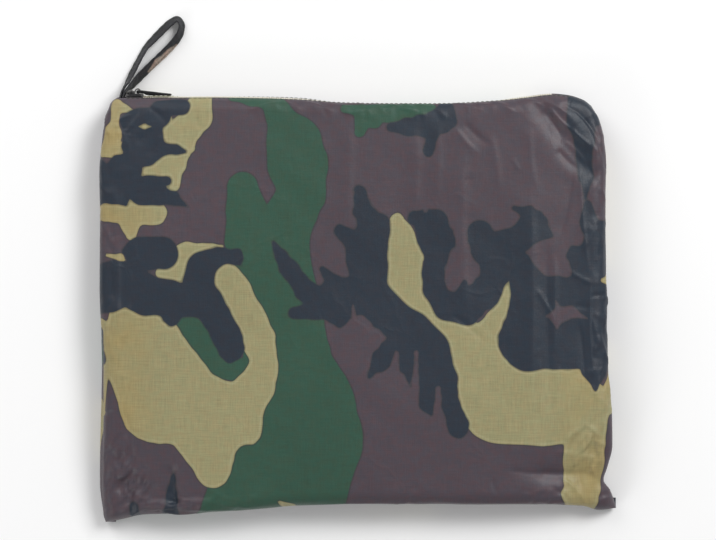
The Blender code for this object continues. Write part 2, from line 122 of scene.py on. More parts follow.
class Crease(NamedTuple):
    """A crease: its line, its sideways bow, its width on either side, its height and sharpness."""

    x0: float
    y0: float
    x1: float
    y1: float
    bow: float
    near: float
    far: float
    height: float
    power: float


class Crumple(NamedTuple):
    """A patch of short sharp creases.

    Attributes:
        x, y: Its middle.
        across, up: How far it spreads each way.
        count: How many creases.
        heading: Which way most of them run, in degrees.
        height: How tall the tallest is.
    """

    x: float
    y: float
    across: float
    up: float
    count: int
    heading: float
    height: float


class Stroke(NamedTuple):
    """A tapered brush stroke of the print: two ends and the radius at each."""

    x0: float
    y0: float
    r0: float
    x1: float
    y1: float
    r1: float


def rows_of(kind: type, *table: tuple) -> tuple:
    """The rows of a table, each as this kind of named row."""
    return tuple(kind(*row) for row in table)


def brushed(*paths: tuple) -> tuple[Stroke, ...]:
    """The strokes along brush paths; a path is the x, y and radius of one point after another."""
    return tuple(Stroke(*path[i : i + 6]) for path in paths for i in range(0, len(path) - 3, 3))


LEFT_SEAM = rows_of(
    SeamRow,
    (-165.1, -164.3, 4, 1.5, 0, 0), (-159, -165.6, 6.5, 0.9, 0, 1.6),
    (-143, -165.6, 12, 0.7, 0.5, 4), (-116, -165, 15.5, 0.7, 0.5, 4.6),
    (-66, -164.4, 16, 0.7, 0.6, 3.8), (-20, -166, 14.5, 0.7, 2, 2.4),
    (58, -166.4, 13.5, 0.7, 2, 2), (84, -164.6, 13.5, 0.7, 1.6, 1.6),
    (97, -163, 13.8, 0.6, 1.2, 1.2), (107, -160.9, 14, 0.4, 0, 0),
)
RIGHT_SEAM = rows_of(
    SeamRow,
    (-155.9, 168.7, 4, 1.5, 0, 0), (-151, 167.4, 4.8, 0.9, 0, 0.4),
    (-143.7, 164.2, 7, 0.7, 0.6, 1), (-137.2, 160, 9.5, 0.7, 0.6, 1),
    (-128.7, 161.8, 11.5, 0.7, 1.6, 1.6), (-114.4, 164.2, 12.5, 0.7, 2.4, 2),
    (-98, 163.9, 12.8, 0.7, 2.4, 2), (-66, 161.7, 13, 0.7, 2.2, 1.8), (38, 160, 13, 0.7, 2, 1.8),
    (68, 160.2, 13, 0.7, 2, 1.8), (84, 159, 13.2, 0.7, 1.6, 1.6),
    (97, 156.2, 13.6, 0.6, 1.2, 1.2), (106, 151.8, 14, 0.4, 0, 0),
)
BOTTOM_SEAM = rows_of(
    SeamRow,
    (-164.3, -165.1, 4, 1.5, 0, 0), (-151, -162.3, 6, 0.7, 0.2, 0.2),
    (-138, -159.3, 9, 0.7, 0.8, 0.8), (-109, -158, 12, 0.7, 1.6, 1.6),
    (-76, -156, 13, 0.7, 1.8, 1.8), (-40, -153, 13, 0.7, 1.8, 1.8),
    (-5, -151.8, 13, 0.7, 1.8, 1.8), (118, -151.8, 12.6, 0.7, 1.8, 1.8),
    (146, -153.8, 9, 0.7, 1, 1), (158, -157, 5.5, 0.9, 0.2, 0.2), (168.7, -155.9, 4, 1.5, 0, 0),
)
ZIP_LINE = rows_of(
    ZipRow,
    (-160.9, 107, 0, 0, 0.3), (-158.4, 109.8, 3.6, 0, 0.6), (-155.6, 111.2, 5.8, 0, 1),
    (-146, 111.6, 5.8, 0, 1.9), (-124, 111.7, 5.8, 0, 1.7), (-114, 111.7, 5.8, 0, 0.8),
    (-99, 111.8, 5.8, 0, 0.6), (-60, 111.2, 5.8, 0.3, 1.3), (-37, 110.2, 5.8, 0.8, 1.6),
    (-11, 107.6, 5.8, 1.8, 0.8), (21, 106.2, 5.8, 3, 0.6), (54, 106.2, 5.8, 3, 0.6),
    (86, 108.6, 5.8, 1.6, 0.6), (109, 111.6, 5.8, 0.2, 0.9), (127, 113.6, 5.8, 0, 0.9),
    (136, 112.9, 5.8, 0, 0.6), (146, 110.2, 3, 0, 0.6), (151.8, 106, 0, 0, 0.3),
)
FRONT_FOLDS = rows_of(
    FoldRow,
    (118, 104, 150, 62, 6, -1.6), (132, 106, 158, 70, 5, 1.2), (122, -132, 148, -133, 5, -1.8),
    (-140, -150, -98, -157, 5, 1.4), (-120, -131, -119, -152, 5, -1.6),
    (-158, -138, -118, -150, 6, -1.4), (110, 40, 112, -110, 14, 0.8), (34, 60, 30, -60, 18, -0.7),
)
STRAP_ROUTE = rows_of(
    StrapRow,
    (-154.5, 107.6, 13.2, 90), (-154, 111.8, 12.9, 90), (-152.6, 116.5, 10.4, 88),
    (-150.3, 121.1, 7.4, 70), (-147.2, 127.7, 5.1, 58), (-143.1, 135.9, 4.3, 61),
    (-138.5, 144.2, 3.8, 60), (-135.3, 147.9, 3.5, 53), (-127.5, 155.9, 3.3, 46),
    (-121.7, 161.3, 3.3, 50), (-117.7, 163.2, 3.6, 60), (-115.2, 160.4, 3.7, 64),
    (-115.4, 155.4, 3.7, 62), (-118.4, 149.9, 3.5, 54), (-123.6, 143.9, 3.4, 52),
    (-129.5, 138.1, 3.5, 53), (-136, 131.9, 3.8, 55), (-142.6, 125.2, 4.6, 56),
    (-147.6, 119.4, 7.4, 68), (-151, 115.2, 10.6, 84), (-152.2, 111.8, 12.9, 90),
    (-152.6, 107.6, 13.2, 90),
)

# Creases in the cloth's own directions, from its middle: height above 0 stands proud.
FRONT_CREASES = rows_of(
    Crease,
    (-70, 103, -48, 108.5, 0.5, 0.7, 1.8, 0.5, 1.2),
    (-47, 109, -35, 103.5, -0.5, 0.7, 1.8, 0.5, 1.2),
    (-34, 108.5, -14, 101.4, 0.6, 0.8, 2.2, 0.6, 1.2),
    (-17, 107, 5, 102.6, 0.4, 0.7, 1.8, 0.42, 1.2),
    (-11, 101.2, 12, 103.6, -0.4, 0.9, 1.8, 0.32, 1.3),
    (8, 106.6, 24, 103, 0.3, 0.6, 1.6, 0.4, 1.2), (19, 107.4, 40, 101, 0.6, 0.7, 2, 0.6, 1.2),
    (28, 108.4, 46, 98, 0.6, 0.8, 2.2, 0.62, 1.2), (36, 108, 52, 103, 0.3, 0.6, 1.4, 0.36, 1.2),
    (47, 107, 59, 96.5, 0.5, 0.7, 1.8, 0.45, 1.2),
    (60, 108.6, 82, 102.6, 0.9, 0.7, 2.2, 0.62, 1.2),
    (72, 108.4, 90, 105.4, 0.3, 0.6, 1.4, 0.34, 1.2),
    (86, 110, 103, 101, 0.9, 0.8, 2.4, 0.62, 1.2), (104, 113, 122, 105, 0.9, 0.8, 2.2, 0.55, 1.2),
    (119, 110.5, 138, 99, 1.2, 0.9, 2.4, 0.6, 1.2),
    (125, 105.5, 141, 89, -1.6, 1.1, 3, 0.95, 1.1), (139, 91, 153, 79, -0.8, 1, 2.6, 0.75, 1.2),
    (121, 103, 134, 83, 1, 2.2, 3.6, -0.8, 1.5), (132, 108, 152, 92, 1.4, 1.6, 3, -0.55, 1.4),
    (139, 104, 156, 80, 1.5, 1.2, 2.4, 0.5, 1.3), (148, 98, 163, 66, 1.5, 1.2, 2.2, -0.55, 1.3),
    (129, 78, 145, 63, -1, 1.6, 3.4, -0.6, 1.4), (133, 84, 150, 66, 1, 1.6, 2.6, 0.4, 1.4),
    (69, 95, 87, 79, -1, 1.4, 3.6, -0.42, 1.4),
    (99.8, 71.5, 105.4, 62.5, 0, 0.55, 0.8, 0.28, 1.2), (37, 92, 35, 34, 2, 3, 6, 0.38, 1.8),
    (69, 76, 72, -40, -3, 3, 7, 0.42, 1.8), (52, 96, 50, 30, 1, 2.4, 4, 0.26, 1.7),
    (112, 46, 110, -120, 2, 2.6, 5, 0.5, 1.6), (122, 20, 124, -96, 0, 2.4, 4, -0.38, 1.7),
    (-5, 96, -8, 20, 1, 3, 6, 0.28, 1.8), (61, -29, 84, -49, 1, 0.9, 1.8, -0.4, 1.2),
    (115, -12, 129, -38, 1, 0.9, 2, 0.42, 1.2), (-30, -154.5, 60, -153.5, 1, 0.8, 1.6, 0.42, 1.2),
    (52, -152.5, 122, -153.5, -0.6, 0.8, 1.6, 0.42, 1.2),
    (96, -130, 158, -134, -1, 1.2, 2.2, -0.6, 1.2), (128, -118, 162, -126, 1, 1.2, 2.4, 0.5, 1.3),
    (150, -100, 158, -150, 2, 1.4, 2.4, -0.5, 1.3), (132, -136, 150, -158, 2, 1.2, 2.2, 0.6, 1.2),
    (-160, 48, -159, -44, 1, 1.2, 2.4, -0.6, 1.2), (-154, 20, -153, -60, -1, 1.2, 2.6, 0.4, 1.4),
    (-152, -86, -146, -140, 2, 1.2, 2.6, -0.5, 1.3),
    (-142, -152, -96, -160, -4, 1.1, 2.2, 0.8, 1.2),
    (-150, -146, -112, -164, -2, 1, 2, -0.7, 1.2), (-120, -128, -119, -160, 0, 1, 2.2, -0.8, 1.1),
    (-158, -128, -140, -160, 3, 1.2, 2.4, 0.7, 1.2),
    (-166, -112, -150, -138, 2, 1.1, 2.2, -0.5, 1.2),
    (-104, 98, -102, 90, 0, 0.9, 1.4, -0.25, 1.2),
    (-149, -147.5, -90, -155.5, -1.5, 0.6, 1.5, 0.6, 1.1),
    (-142, -141, -104, -149.5, -2, 0.6, 1.6, 0.4, 1.1),
    (-136, -152.5, -70, -157.5, -1, 0.6, 1.3, 0.45, 1.1),
    (151, -8, 153, -70, -1.5, 1, 2.6, 0.42, 1.2),
    (127.5, 8, 126.5, -52, 0.5, 1.5, 3.8, 0.42, 1.3), (143, -34, 147, -72, 1, 1, 3, -0.34, 1.3),
    (117.6, -58, 118.6, -96, 0.4, 0.8, 2.4, 0.34, 1.2),
    (130, -62, 129.4, -92, -0.4, 0.8, 2.2, 0.3, 1.2),
    (136, -78, 135, -152, 1, 0.8, 2.2, 0.36, 1.2),
    (121, -112, 116, -128, 0.6, 1.2, 3.4, 0.28, 1.3),
    (104, -114, 103, -132, -0.6, 1, 2.6, 0.2, 1.3), (144, 66, 150, -4, -1, 1.2, 3, 0.4, 1.2),
    (139, 62, 128, 14, 2, 1.6, 4.2, -0.3, 1.4), (112, 92, 117, 48, -2, 1.6, 4, 0.26, 1.4),
    (86, 88, 92, 44, 1.5, 1.6, 4.4, 0.24, 1.4), (74, 62, 62, 34, -1, 1.4, 3.4, -0.22, 1.4),
    (63, 92, 79, 74, -1, 1, 3.2, 0.34, 1.3), (-140, -130, -146, -158, 1, 0.8, 1.8, 0.55, 1.2),
    (-132, -120, -136, -146, -0.8, 0.8, 2, 0.38, 1.2),
    (-152, -104, -149, -132, 0.8, 0.9, 2.2, 0.4, 1.2),
    (-112, -146, -60, -155, -2, 0.7, 1.8, 0.42, 1.2),
    (-98, -141, -74, -151, -1, 0.6, 1.6, 0.28, 1.2), (-140, 108, -122, 92, 2, 1, 1.8, -0.4, 1.3),
    (-158, 96, -146, 74, 1, 1.2, 2, 0.4, 1.3),
)
CRUMPLES = rows_of(
    Crumple,
    (-150, -138, 14, 20, 60, 62, 0.95), (-112, -152, 30, 5, 26, 6, 0.8),
    (151, -116, 10, 30, 40, 80, 0.6), (138, -150, 22, 6, 20, 20, 0.55),
    (160, -40, 8, 60, 26, 88, 0.55), (158, 60, 8, 40, 24, 84, 0.38),
    (-160, 20, 7, 80, 24, 88, 0.45), (-146, 92, 14, 16, 12, 70, 0.4),
)
BACK_CREASES = rows_of(
    Crease,
    (-150, 96, -118, 70, 4, 1.4, 3, 0.8, 1.3), (120, 100, 148, 66, -3, 1.2, 2.8, -0.7, 1.3),
    (-160, -120, -128, -150, 3, 1.2, 2.6, 0.7, 1.3),
    (132, -120, 160, -146, -3, 1.2, 2.4, -0.6, 1.3), (-60, 60, -64, -90, 4, 3, 6, -0.4, 1.8),
    (52, 84, 58, -60, -4, 3, 6, -0.4, 1.8),
)

# The print's strokes over its brown ground, in the cloth's own directions.
GREEN_STROKES = brushed(
    (-80, 112, 3, -60, 108, 4.5),
    (-56, 113, 7, -50, 98, 9.2, -41.5, 82, 17.5, -38.5, 67, 18.8, -35.8, 50, 15, -46, 28, 16.5,
     -55, 5, 25, -50, -25, 26, -45, -60, 28, -38, -90, 36, -40, -110, 43, -52, -145, 44,
     -62, -190, 50), (-74.5, 52.5, 9.8, -72, 38, 12.8, -68, 22, 18),
    (-110, -34, 7, -100, -48, 9, -88, -62, 8), (-88, -62, 9.6, -68, -62, 1.6),
    (-90, -60, 12, -78, -66, 7), (-8, 103.5, 3.5, 20, 101, 6, 46, 104.5, 4.5),
    (4, 99, 6, 1.5, 88.5, 3.6), (10, 96, 5, 10.5, 96, 5), (176, 40, 9, 190, 10, 14),
    (110, 140, 14, 160, 150, 20), (-210, -120, 14, -200, -160, 20),
    (120, -176, 10, 176, -186, 14),
)
TAN_STROKES = brushed(
    (-110, -104, 12, -94, -126, 12.5), (-148, -60, 16, -142, -84, 12.5),
    (-60, -49, 6.9, -60, -51, 6.9), (-59.4, -66, 7.6, -59.8, -68, 7.6),
    (-68.4, -104, 7.2, -68.8, -106, 7), (-68, -89, 6.6, -68, -91, 6.6),
    (-151, 76, 6, -142, 66, 8), (-127, -2.2, 2.6, -114, 4, 8), (-128, 96, 8, -124, 68, 6),
    (98, -60, 12, 142, -60, 10), (-155.5, 105, 4.2, -145, 102.3, 0.8),
    (-156, 108, 3, -156.5, 98, 2, -158, 87, 5.6, -160, 78.5, 5.6, -166, 76, 4),
    (-102, 112, 7.2, -104, 97, 9.5, -111, 90, 9.4, -121.5, 90, 3.8),
    (-110, 88, 9, -108.3, 78, 3.2), (-117, 86, 5.6, -112, 82, 4),
    (-133, 62.5, 4.4, -117, 67.5, 6, -111.5, 74, 3.6),
    (-117, 66, 5, -118.8, 54, 3.2, -128.5, 51.4, 0.9),
    (-178, 40, 9, -158, 37.5, 7.2, -130.5, 36, 7.6), (-147, 34, 9.4, -146.2, 22, 3.4),
    (-147, 44, 4, -150.2, 49.6, 1.4), (-142, 92, 3, -133, 92, 3),
    (-162, 9, 0.8, -153, 7.6, 2.4, -148.8, 4.8, 0.6), (-110, 13, 4.4, -87.5, 14.6, 1.2),
    (-112, 10, 6, -116, -2, 6.5, -127.5, -3.2, 1.6), (-114, -3, 4.4, -113, -11.5, 1.4),
    (-83.5, -6, 9.4, -80, -14, 10.8, -71, -30, 11, -63.5, -46, 11, -60, -60, 8.4, -66, -76, 12,
     -80, -94, 17, -92, -110, 15, -93, -130.5, 10.6), (-70, -99, 9, -74, -104, 9),
    (-80, -92, 18, -110, -88, 24, -128, -88, 25.5), (-133, -48.5, 20, -107.5, -83, 20),
    (-147, -34, 14, -151, -56, 17), (-168, -40, 8, -168, -60, 7, -169, -92, 3.6),
    (26, 31.5, 4.8, 27.5, 22, 8.8, 30.6, 7, 11.2, 30.2, -10, 11.2, 38, -22, 9, 60, -42, 14,
     80, -60, 22, 92, -88, 24.5, 120, -90, 24, 142, -90, 22), (38, 8.5, 4, 46.2, 8.1, 0.5),
    (88, -38, 10, 93.5, -24, 5.4, 94.7, -17, 3.9, 97.3, -9, 5.3, 99.2, 0.8, 0.7),
    (148, -100, 14, 147, -125, 13.4, 146, -147, 12.6, 145, -172, 8), (164, -86, 8, 174, -66, 8),
    (158.6, -7.3, 1.8, 172, -7.4, 7), (-50.5, -151, 0.8, -44, -157, 4.5),
    (178, 96, 6, 186, 70, 12), (-30, 138, 10, 30, 146, 12),
)
BLACK_STROKES = brushed(
    (-128, 104, 5.4, -113.8, 105.2, 5.2), (-148, 95, 5.6, -128, 98.5, 7.4),
    (-139.5, 91, 13.2, -138, 80, 13.6), (-130, 77.5, 6.4, -117.5, 77, 2.8, -111.3, 75.6, 0.5),
    (-151, 63, 11.5, -155, 54, 11.5), (-168, 62, 8, -170, 50, 9),
    (-136, 56, 4, -122.8, 56.6, 2.8), (-160, 50, 8, -151.6, 45, 3.4, -149.2, 41.4, 1),
    (-139, 50, 9, -128, 47.5, 6, -119, 45.6, 4.4, -109, 39.8, 0.5),
    (-141, 9.5, 11, -126, 10, 10.4),
    (-178, -14, 16, -161, -12, 16, -150, -8, 14, -135, -17, 12.4, -122, -19, 11, -120, -30, 6.4),
    (-122, -20, 11, -104, -21, 10),
    (-102.6, -8, 10, -100.4, 2, 9, -90, 7.6, 5.6, -78.5, 8, 4.4, -74.7, 1.6, 0.8),
    (-102, -14, 10, -97, -21, 9.6, -90.5, -32, 8.8, -85, -43, 9.4, -81.5, -51, 8.6),
    (-170, -42, 4, -168.8, -50, 2.8), (-168.6, -57, 4.6, -168.1, -57, 4.6),
    (-119, -131, 0.4, -121, -147, 3.4, -122, -170, 6.4), (-146, -155, 3, -144, -166, 4),
    (1, 50.5, 3.8, 3.5, 38, 5.6, 10.5, 26, 9.8, 6, 12, 13, 7, 2, 12.6, 7, -14, 12, 20, -29, 11.5,
     33, -40, 13.4, 46, -52, 13.4, 51.5, -66, 10.8), (10, 33, 5, 17, 31, 3.6),
    (0, 17, 8, -11.3, 24.4, 3.9), (-3, 4.4, 3.6, -2.5, 4.4, 3.6), (4, -16, 12, -13, -20, 14),
    (-14, -10, 5, -22.6, 0, 2),
    (-22, -21, 8, -34, -13.5, 6.4, -44, -0.5, 5.8, -49.5, 9, 3.6, -54.2, 17.4, 1),
    (-18, -26.5, 6.4, -30, -27.6, 4.8, -41, -28.4, 3.8), (-12, -26, 8, -11.4, -32, 5),
    (21, -48, 4, 15, -59.2, 5.7, 7.2, -70, 0.5), (31, -50, 5, 31.8, -64, 4, 34.2, -75.6, 0.7),
    (46, -66, 6, 44.6, -87, 4.6, 47.6, -93.6, 1), (58.5, -70, 6, 60, -88, 5.4, 65.6, -102, 6.8),
    (37, 33, 4.4, 51, 33, 4.6),
    (44, 30, 8, 48.5, 24, 11, 50.3, 17.4, 10.6, 51, 9, 7.2, 48.6, -3, 6.7, 49.5, -13, 7,
     58, -24.5, 8.4, 71, -25, 10.4, 82, -16, 9.4, 89, -2, 8.6, 88, 8, 9),
    (52, 31, 6, 50, 22, 11), (60, 24, 1.6, 61, 15.6, 1.6), (68, -16, 4, 69.4, -8, 0.9),
    (75, -14, 4, 78, -9, 0.6), (78.5, 23.4, 7.8, 83, 12, 9.2, 89, 2, 9),
    (86, 13, 9, 104, 19.6, 8.2, 113, 28.6, 9.4, 110, 35.6, 4, 101, 39.2, 1.4),
    (116, 25, 8, 125.4, 21.6, 1.4),
    (98, 8, 8, 104.5, 3.5, 6.6, 110, -10, 11.4, 112, -30, 14.4, 110, -46, 18.6, 130, -46, 18.4,
     150, -46, 18.8, 154, -62, 10, 154.2, -78, 1),
    (112, -14, 11, 126, -16, 10.4, 145, -16.4, 10.8), (150, -14, 13, 154, -32, 15, 168, -40, 15),
    (148.8, 41.4, 2.4, 149.5, 30, 5.6, 153, 18, 6.4, 160, 4, 13), (140.6, 8.6, 5.8, 146, 0, 8),
    (141, 10, 5, 156, 11, 6.4), (158, 24, 7, 170, 24, 8, 172, -34, 14, 172, -58, 10),
    (143, 110.5, 6.4, 146, 96, 9.4, 147, 84, 6.4, 147.2, 72, 4.6, 148, 60, 4.8, 147.4, 46, 0.8),
    (148, 107, 6, 156, 97.5, 4.4),
    (22, 91.4, 3, 32, 91.6, 5.3, 46, 92.6, 7.4, 55.5, 97, 8.2, 57, 104.5, 5.6),
    (48.5, 88, 3.2, 45.4, 75.8, 2.8), (60, 140, 10, 96, 150, 14), (-170, 132, 12, -140, 150, 14),
)
BLACK_CUTS = brushed(
    (-141.8, 92, 0.2, -137.5, 92, 1.5, -133.2, 92, 0.2),
    (-157, 8.2, 1.6, -152.5, 7.2, 2.2, -148.6, 4.8, 0.4), (-3, -23.4, 0.6, -2, -33, 1.9),
    (37.8, -53.6, 1.4, 37.4, -84, 2.1), (52, -77, 1.6, 51.6, -98, 2.5),
    (122, -30.4, 0.7, 130.5, -29.4, 4.8, 138, -27.8, 3.4, 148.4, -31.8, 0.6),
    (128.4, -33, 3.6, 128.6, -37.6, 1.2), (127.6, -20, 0.4, 129.6, -26, 1.8),
    (159, -7.3, 1.4, 172, -7.4, 6.4), (43.7, 37.4, 1.2, 43.7, 40, 1.6),
)
# The strap's own print: it is cut from a dark part of the cloth.
STRAP_BROWN = brushed(
    (89, -6.4, 1, 95, -6.4, 2.8, 105, -6, 3.4, 113, -6, 1.4),
)


class Panel(Enum):
    """The pouch's two cloth panels; the value is the way each faces along Z."""

    FRONT = 1
    BACK = -1


class Side(Enum):
    """The three sewn sides of a panel."""

    LEFT = "left"
    RIGHT = "right"
    BOTTOM = "bottom"


SIDE_TABLES: dict[Side, tuple[SeamRow, ...]] = {
    Side.LEFT: LEFT_SEAM,
    Side.RIGHT: RIGHT_SEAM,
    Side.BOTTOM: BOTTOM_SEAM,
}


def cubic(t: Array, start: Array, end: Array, leave: Array, arrive: Array) -> Array:
    """The cubic from start at t = 0 to end at t = 1, with the slope it leaves and arrives with."""
    first = (2 * t**3 - 3 * t**2 + 1) * start + (t**3 - 2 * t**2 + t) * leave
    return first + (3 * t**2 - 2 * t**3) * end + (t**3 - t**2) * arrive


def smooth_through(table: Sequence[tuple], column: str, at: Array) -> Array:
    """A smooth curve through one column of a table, with no overshoot between its rows.

    Between two rows it is the cubic whose slope at a row is the harmonic mean of the slopes on
    either side, or none where they differ in sign.

    Args:
        table: Rows in the order of their along value.
        column: The name of the column to follow.
        at: Places along the table.

    Returns:
        The column's value at each place.
    """
    along = np.array([row.along for row in table])
    value = np.array([getattr(row, column) for row in table])
    step = np.diff(along)
    slope = np.diff(value) / step
    tangent = np.zeros(len(along))
    tangent[0], tangent[-1] = slope[0], slope[-1]
    same_way = slope[:-1] * slope[1:] > 0
    both = np.where(same_way, slope[:-1] + slope[1:], 1.0)
    tangent[1:-1] = np.where(same_way, 2.0 * slope[:-1] * slope[1:] / both, 0.0)
    cell = np.clip(np.searchsorted(along, at) - 1, 0, len(step) - 1)
    t = np.clip((at - along[cell]) / step[cell], 0.0, 1.0)
    leave, arrive = step[cell] * tangent[cell], step[cell] * tangent[cell + 1]
    return cubic(t, value[cell], value[cell + 1], leave, arrive)


def smoothstep(value: Array) -> Array:
    """An even rise from 0 at 0 to 1 at 1."""
    t = np.clip(value, 0.0, 1.0)
    return t * t * (3.0 - 2.0 * t)


def unit(vectors: Array) -> Array:
    """The vectors at length 1."""
    return vectors / np.maximum(np.linalg.norm(vectors, axis=-1, keepdims=True), 1e-12)


def circle(count: int) -> Array:
    """Even angles round a circle."""
    return np.linspace(0.0, 2 * math.pi, count, endpoint=False)


def squared_off(wave: Array, power: float) -> Array:
    """A wave with fuller crests: its size to a power below 1, with its own sign."""
    return np.sign(wave) * np.abs(wave) ** power


def run_along(line: Array) -> Array:
    """The length along a line of points from its first to each of them."""
    return np.concatenate([[0.0], np.cumsum(np.linalg.norm(np.diff(line, axis=0), axis=1))])


def resampled(at: Array, run: Array, points: Array) -> Array:
    """Points of a line read at other places along it."""
    return np.stack([np.interp(at, run, column) for column in points.T], axis=-1)


def from_line(x: Array, y: Array, line: FoldRow | Crease) -> tuple[Array, Array, float]:
    """How far points lie along a line and beside it, and the line's length."""
    run = np.array([line.x1 - line.x0, line.y1 - line.y0])
    length = float(np.hypot(*run))
    run = run / length
    along = (x - line.x0) * run[0] + (y - line.y0) * run[1]
    beside = (y - line.y0) * run[0] - (x - line.x0) * run[1]
    return along, beside, length


def seeded_wave(rng: np.random.Generator, s: Array, t: Array, length: float) -> Array:
    """A sine wave of this length over the cloth, in a drawn direction and with a drawn phase."""
    heading, phase = rng.uniform(0, math.pi), rng.uniform(0, 2 * math.pi)
    along = s * math.cos(heading) + t * math.sin(heading)
    return np.sin(2 * math.pi * along / length + phase)


def tube(line: Array, frame: Sequence[Array], radii: Sequence[Array], sides: int) -> Array:
    """Rings of points round a line.

    Args:
        line: Its points.
        frame: Two directions square to it at each point.
        radii: The radius at each point in either direction.
        sides: Points in a ring.

    Returns:
        Points as rings, places in a ring, and x, y, z.
    """
    around = circle(sides)
    rings = line[:, None]
    for direction, wave, radius in zip(frame, (np.cos(around), np.sin(around)), radii):
        rings = rings + direction[:, None] * (wave * radius[:, None])[..., None]
    return rings


def grid_faces(rows: int, columns: int, flip: bool = False) -> Array:
    """The quads of a grid of points numbered row by row.

    Args:
        rows: Points the first way.
        columns: Points the second way.
        flip: Whether the faces turn the other way.

    Returns:
        An array of four point numbers a face.
    """
    row, column = np.meshgrid(np.arange(rows - 1), np.arange(columns - 1), indexing="ij")
    start = (row * columns + column).ravel()
    faces = np.stack([start, start + columns, start + columns + 1, start + 1], axis=-1)
    return faces[:, ::-1] if flip else faces


def ring_faces(rings: int, size: int, closed: bool = False) -> Array:
    """The quads between closed rings of points, each ring joined to the next.

    Args:
        rings: How many rings.
        size: Points in each ring.
        closed: Whether the last ring joins the first.

    Returns:
        An array of four point numbers a face.
    """
    count = rings if closed else rings - 1
    ring, place = np.meshgrid(np.arange(count), np.arange(size), indexing="ij")
    after, beside = (ring + 1) % rings, (place + 1) % size
    corners = [(ring, place), (ring, beside), (after, beside), (after, place)]
    return np.stack([(row * size + column).ravel() for row, column in corners], axis=-1)


@dataclass
class Shape:
    """Points and faces gathered before they become one mesh."""

    points: list[Array] = field(default_factory=list)
    faces: list[list[int]] = field(default_factory=list)
    count: int = 0

    def add(self, points: Array, faces: Sequence[Sequence[int]]) -> None:
        """Add points, with faces numbered from the first of them."""
        flat = points.reshape(-1, 3)
        self.points.append(flat)
        self.faces += [[index + self.count for index in face] for face in faces]
        self.count += len(flat)

    def add_rings(self, rings: Array, closed: bool = False, flip: bool = False) -> None:
        """Add a skin over rings of points.

        Args:
            rings: Points as rings, places in a ring, and x, y, z.
            closed: Whether the last ring joins the first; if not, each end gets a flat cap.
            flip: Whether the faces turn the other way.
        """
        count, size = rings.shape[:2]
        faces = ring_faces(count, size, closed).tolist()
        if not closed:
            faces.append(list(range(size))[::-1])
            faces.append(list(range((count - 1) * size, count * size)))
        if flip:
            faces = [face[::-1] for face in faces]
        self.add(rings, faces)

    def make(self, name: str, material: bpy.types.Material) -> bpy.types.Object:
        """Turn what was gathered into an object."""
        return new_object(name, np.concatenate(self.points), self.faces, material)


def new_object(
    name: str,
    points: Array,
    faces: Sequence[Sequence[int]] | Array,
    material: bpy.types.Material,
    cloth: Array | None = None,
    marks: dict[str, Array] | None = None,
) -> bpy.types.Object:
    """A smooth-shaded object from points in millimetres.

    Args:
        name: The piece's name.
        points: Its points, in millimetres.
        faces: Point numbers of each face.
        material: Its finish.
        cloth: The cloth's own two coordinates of each point, in millimetres, if it is cloth.
        marks: Named values of each point, for its finish.

    Returns:
        The object, at the origin.
    """
    face_list = faces.tolist() if isinstance(faces, Array) else list(faces)
    mesh = bpy.data.meshes.new(name)
    mesh.from_pydata((points.reshape(-1, 3) * MM).tolist(), [], face_list)
    mesh.shade_smooth()
    mesh.materials.append(material)
    if cloth is not None:
        corner_points = np.empty(len(mesh.loops), dtype=np.int32)
        mesh.loops.foreach_get("vertex_index", corner_points)
        layer = mesh.uv_layers.new(name="cloth")
        placed = cloth.reshape(-1, 2)[corner_points] * MM
        layer.data.foreach_set("uv", placed.astype(np.float32).ravel())
    for mark, values in (marks or {}).items():
        held = mesh.attributes.new(mark, "FLOAT", "POINT")
        held.data.foreach_set("value", values.astype(np.float32).ravel())
    piece = bpy.data.objects.new(name, mesh)
    bpy.context.scene.collection.objects.link(piece)
    return piece


